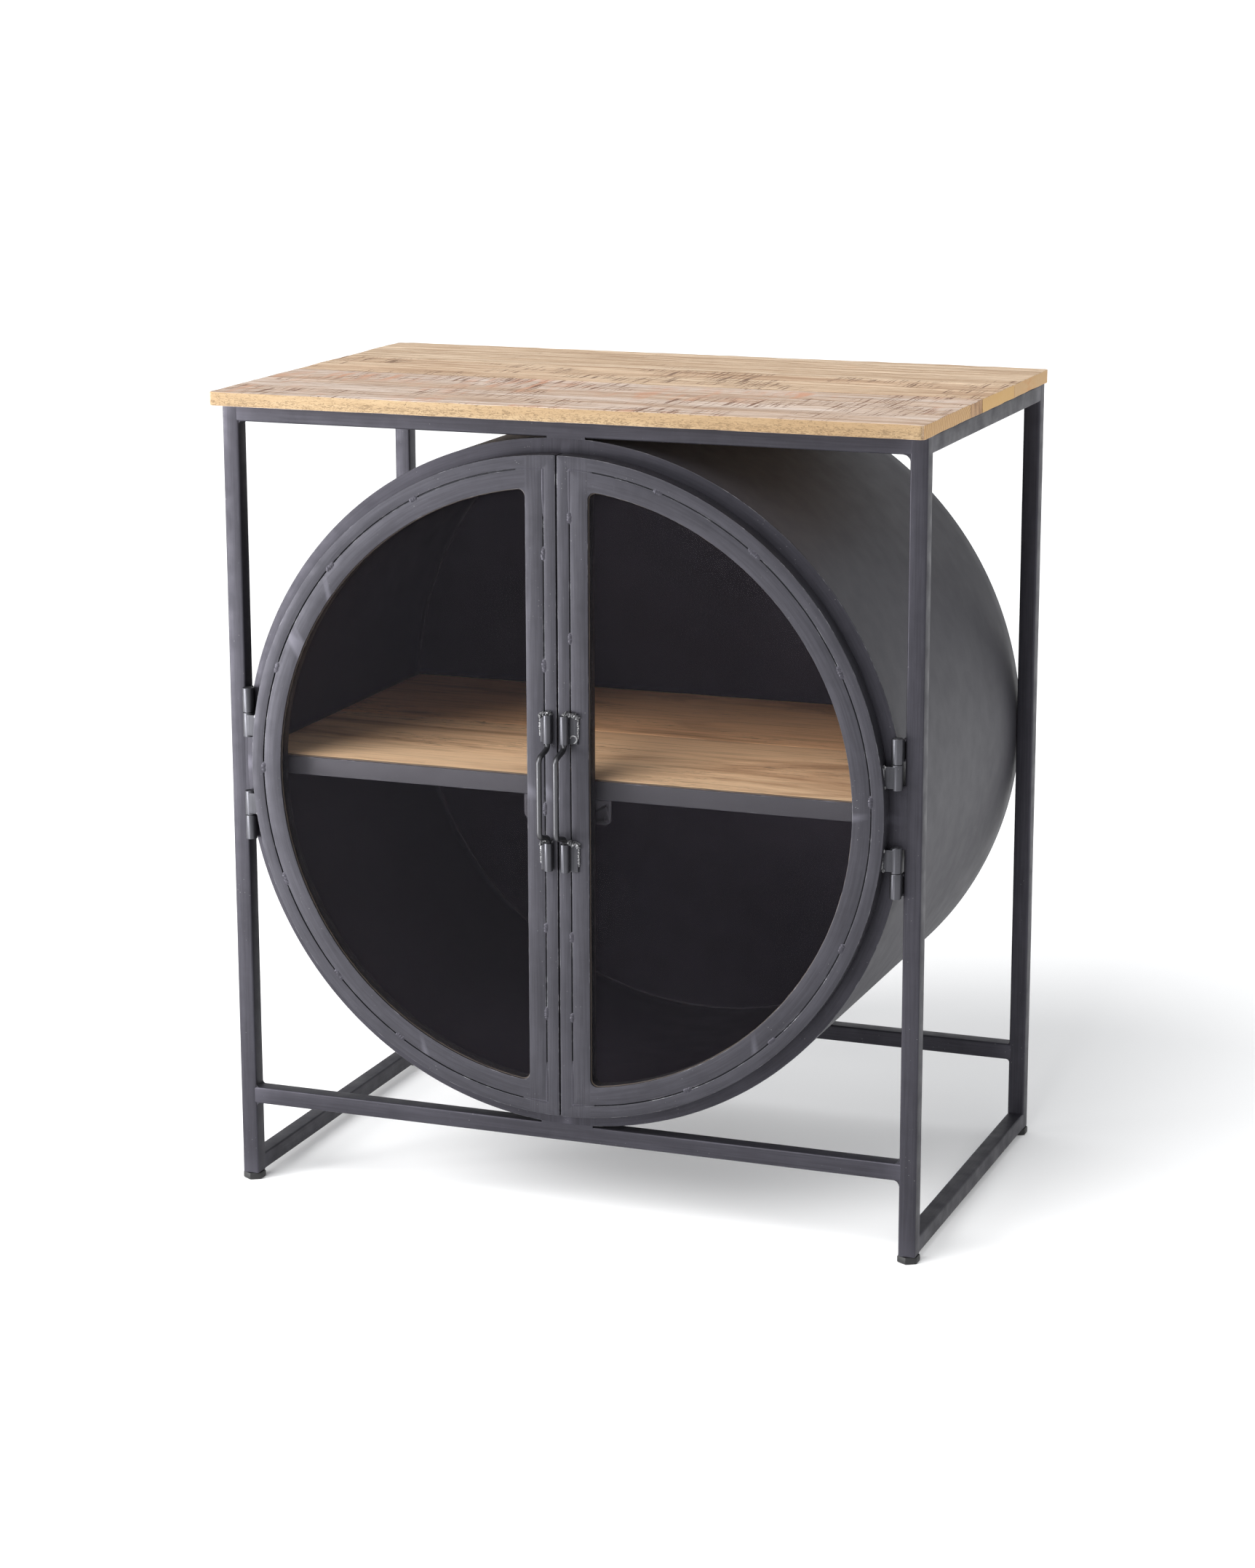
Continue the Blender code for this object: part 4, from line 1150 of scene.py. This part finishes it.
# ---- hinges ----
def build_hinge(side_name, side, level_name, level):
    tag = "hinge_%s_%s" % (side_name, level_name)
    door = "door_" + side_name
    pin_low, pin_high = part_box(tag + "_pin")
    axis_x = (pin_low.x + pin_high.x) / 2
    axis_y = (pin_low.y + pin_high.y) / 2
    fixed_low, fixed_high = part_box(tag + "_fixed")
    door_low, door_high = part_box(tag + "_door")
    barrel_r = axis_y - fixed_low.y
    outside = axis_x + side * (barrel_r - HAIR)
    front = axis_y - barrel_r + HAIR
    edge = door_low.x if side > 0 else door_high.x

    def half(node, low, high, across, depth, cells, body):
        bm = bmesh.new()
        barrel(bm, PIN_R + RUNNING_GAP, barrel_r, low.z, high.z, axis_x, axis_y)
        x0, x1 = sorted(across)
        rounded_box(bm, (x0, depth[0], low.z + LEAF_IN), (x1, depth[1], high.z - LEAF_IN),
                    (EDGE_R,) * 3, cells)
        add_piece(node + "_leaf", bm, HINGE_STEEL, body, [node])

    half(tag + "_fixed", fixed_low, fixed_high, (outside, outside - side * LEAF_T),
         (axis_y, fixed_high.y), (1, 4, 6), "frame")
    half(tag + "_door", door_low, door_high, (edge, axis_x),
         (front, front + LEAF_T), (4, 1, 6), door)
    build_hinge_welds(tag, door, side, level, edge, front)

    ease = 0.0006
    cap = [(0.0003, pin_low.z), (PIN_R - ease, pin_low.z), (PIN_R, pin_low.z + ease),
           (PIN_R, pin_high.z - ease), (PIN_R - ease, pin_high.z), (0.0003, pin_high.z)]
    bm = bmesh.new()
    skin(bm, [[(x, y, z) for x, y in circle(r, PIN_STEPS, axis_x, axis_y)] for r, z in cap])
    add_piece(tag + "_pin_rod", bm, HINGE_STEEL, replaced=[tag + "_pin"])


LEAF_BEAD = (0.0045, 0.0016, 0.5)
LEAF_END_BEAD = (0.0034, 0.0011, 0.4)
POST_BEAD = (0.0032, 0.0011, 0.35)


def build_hinge_welds(tag, door, side, level, edge, front):
    """Beads round the door leaf's inner end, and two on the post's inner side."""
    inset = 0.003
    out = (side * 0.6, -1.0, 0.0)
    low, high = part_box(tag + "_door")
    ends = (low.z + inset, high.z - inset)
    bm = bmesh.new()
    for z, seed in zip(ends[::-level], (1, 2)):
        path = [(edge - side * 0.0006, front + 0.0004, z),
                (edge + side * 0.0035, front - 0.0002, z)]
        bead(bm, path, LEAF_BEAD, out, seed + level * 3 + side)
    path = [(edge + side * across, front + 0.0003, z) for across, z in zip((0.0004, 0.0002), ends)]
    bead(bm, path, LEAF_END_BEAD, out, 5 + side + level)
    add_piece(tag + "_door_weld", bm, WELD_STEEL, door)

    low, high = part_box(tag + "_fixed")
    post_side = side * (INNER_HALF - 0.0002)
    bm = bmesh.new()
    for z in (low.z + inset, high.z - inset):
        path = [(post_side, FRONT - 0.0012, z), (post_side, FRONT + 0.009, z)]
        bead(bm, path, POST_BEAD, (-side, 0, 0), z * 40)
    add_piece(tag + "_post_weld", bm, PATCH_STEEL["Z"])


# ---- handles ----
def build_handle(side_name, side):
    rod = "handle_%s_rod" % side_name
    rod_low, rod_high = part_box(rod)
    axis_x = (rod_low.x + rod_high.x) / 2
    axis_y = rod_high.y - ROD_R
    reach = axis_y - (rod_low.y + ROD_R)
    tip = (rod_high.z - rod_low.z) / 2
    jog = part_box("handle_%s_socket_upper" % side_name)[0].z - CENTRE_Z - JOG_DROP
    origin = Vector((axis_x, axis_y, CENTRE_Z))
    half = [Vector((0, 0, tip)), Vector((0, 0, jog)), Vector((0, -reach, jog - JOG_SLOPE))]
    half += [Vector((v.x, v.y, -v.z)) for v in reversed(half)]
    corners = [origin + v for v in half]
    bm = bmesh.new()
    rod_along(bm, rounded_path(corners, BEND_R), ROD_R)
    add_piece(rod + "_bent", bm, ROD_STEEL, "handle_" + side_name, [rod])
    for level_name, level in LEVELS.items():
        build_socket(side_name, side, level_name, level, axis_x, axis_y)


SOCKET_BEAD = (0.0052, 0.0034, 0.95)
SOCKET_SIDE_BEAD = (0.0026, 0.0013, 0.7)
CURL_BEAD = (0.0020, 0.0011, 0.3)


def build_socket(side_name, side, level_name, level, axis_x, axis_y):
    node = "handle_%s_socket_%s" % (side_name, level_name)
    low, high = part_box(node)
    far = high.x if side > 0 else low.x + LEFT_LEAF_TRIM
    body = "door_" + side_name
    bm = bmesh.new()
    barrel(bm, ROD_R + RUNNING_GAP, axis_y - low.y, low.z, high.z, axis_x, axis_y, 0.0005)
    x0, x1 = sorted((axis_x + side * ROD_R * 1.1, far))
    rounded_box(bm, (x0, high.y - 0.002, low.z), (x1, high.y, high.z), (0.0006,) * 3, (3, 1, 8))
    add_piece(node + "_barrel", bm, HINGE_STEEL, body, [node])

    face = high.y - 0.0012
    rear = high.y - 0.0006
    top = high.z
    bm = bmesh.new()
    path = [(axis_x - side * 0.0042, face, top - 0.0008),
            (axis_x + side * 0.0005, face - 0.0012, top + 0.0014),
            (far - side * 0.001, face, top - 0.0002),
            (far + side * 0.0012, face + 0.0002, top - 0.005)]
    bead(bm, path, SOCKET_BEAD, OUT, level * 2 + side)
    path = [(far + side * 0.0002, rear, top - 0.003), (far + side * 0.0004, rear, low.z + 0.006)]
    bead(bm, path, SOCKET_SIDE_BEAD, OUT, level * 5 + side)
    if (side, level) == (1, 1):
        middle = Vector((far - 0.0045, face - 0.0006, low.z + 0.0055))
        sweep_angles = (math.pi * (0.95 - 1.5 * step / 10) for step in range(11))
        curl = [middle + 0.0040 * Vector((math.cos(a), 0, math.sin(a))) for a in sweep_angles]
        bead(bm, curl, CURL_BEAD, OUT, 9)
    add_piece(node + "_weld", bm, WELD_STEEL, body)


# ---- stage ----
FLOOR_R = 160.0
FLOOR_GLOW = 0.10            # washes out the faint shadows on the white floor
WHITE = (1.0, 1.0, 1.0, 1.0)
WORLD_LOW = (0.975, 0.980, 0.990, 1.0)
WORLD_HIGH = (0.965, 0.980, 1.0, 1.0)
WORLD_STRENGTH = 0.73
BOX_SPOT = Vector((-1.75, -1.45, 0.48))
BOX_TARGET = Vector((-0.60, FRONT, 0.5))
CAMERA_SPOT = (1.4037, -3.7243, 1.3940)
CAMERA_TURN = (20.76, 13.38, -0.14)          # yaw, pitch and roll in degrees
LENS, SENSOR = 83.4, 36.0


def build_floor():
    bm = bmesh.new()
    bmesh.ops.create_circle(bm, cap_ends=True, segments=FLOOR_STEPS, radius=FLOOR_R)
    floor = linked("floor", as_mesh("floor", bm))
    t = Tree("pale_floor")
    tone = t.layers((0.90, 0.90, 0.90), (t.noise(0.6), (0.3, 0.7), 1.0, (0.92, 0.92, 0.92)))
    t.finish(tone, 0.85, Emission_Color=WHITE, Emission_Strength=FLOOR_GLOW)
    floor.data.materials.append(t.material)


def build_world():
    """White surroundings, a little cooler towards the top."""
    world = bpy.data.worlds.new("studio")
    world.use_nodes = True
    nodes, links = world.node_tree.nodes, world.node_tree.links
    background = nodes["Background"]
    background.inputs["Strength"].default_value = WORLD_STRENGTH
    ramp = nodes.new("ShaderNodeMix")
    ramp.data_type = "RGBA"
    height = nodes.new("ShaderNodeSeparateXYZ")
    links.new(nodes.new("ShaderNodeTexCoord").outputs["Generated"], height.inputs["Vector"])
    links.new(height.outputs["Z"], ramp.inputs[0])
    ramp.inputs[6].default_value = WORLD_LOW
    ramp.inputs[7].default_value = WORLD_HIGH
    links.new(ramp.outputs[2], background.inputs["Color"])
    bpy.context.scene.world = world
    bpy.context.scene.view_settings.view_transform = "Standard"


def build_lights():
    """A soft sun from the front that reaches the shelf, and a soft box on the left."""
    sun = bpy.data.lights.new("key", "SUN")
    sun.energy = 2.8
    sun.angle = math.radians(40)
    place_light("key", sun, (0, 0, 0), (-0.35, -0.9, 0.92))

    box = bpy.data.lights.new("soft_box", "AREA")
    box.shape = "RECTANGLE"
    box.size, box.size_y = 0.9, 0.8
    box.energy = 60.0
    place_light("soft_box", box, BOX_SPOT, BOX_SPOT - BOX_TARGET)


def place_light(name, data, spot, back):
    """A light at a spot; back is the direction opposite to its beam."""
    lamp = linked(name, data)
    lamp.location = spot
    lamp.rotation_mode = "QUATERNION"
    lamp.rotation_quaternion = Vector(back).to_track_quat("Z", "Y")
    lamp.visible_camera = False
    lamp.visible_glossy = True


def build_camera():
    data = bpy.data.cameras.new("camera")
    data.lens = LENS
    data.sensor_width = SENSOR
    data.clip_end = 200.0
    camera = linked("camera", data)
    yaw, pitch, roll = (math.radians(degrees) for degrees in CAMERA_TURN)
    turn = (Matrix.Rotation(yaw, 4, "Z") @ Matrix.Rotation(math.pi / 2 - pitch, 4, "X")
            @ Matrix.Rotation(roll, 4, "Z"))
    camera.matrix_world = Matrix.Translation(CAMERA_SPOT) @ turn
    bpy.context.scene.camera = camera


build_stand()
build_corner_welds()
build_ring_welds()
for end in ENDS:
    for side_word in SIDES:
        build_foot("foot_%s_%s" % (end, side_word))
for plank in TOP_WOOD:
    build_plank(plank)
build_shell()
build_ring()
build_back()
build_shelf()
for side_word, sign in SIDES.items():
    build_catch(side_word, sign)
for side_word, sign in SIDES.items():
    build_door(side_word, sign)
    for level_word, level_sign in LEVELS.items():
        build_hinge(side_word, sign, level_word, level_sign)
    build_handle(side_word, sign)
for end in ENDS:
    for side_word in SIDES:
        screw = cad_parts["top_screw_%s_%s" % (end, side_word)]
        screw.data.materials.clear()
        screw.data.materials.append(ZINC)
build_floor()
build_world()
build_lights()
build_camera()
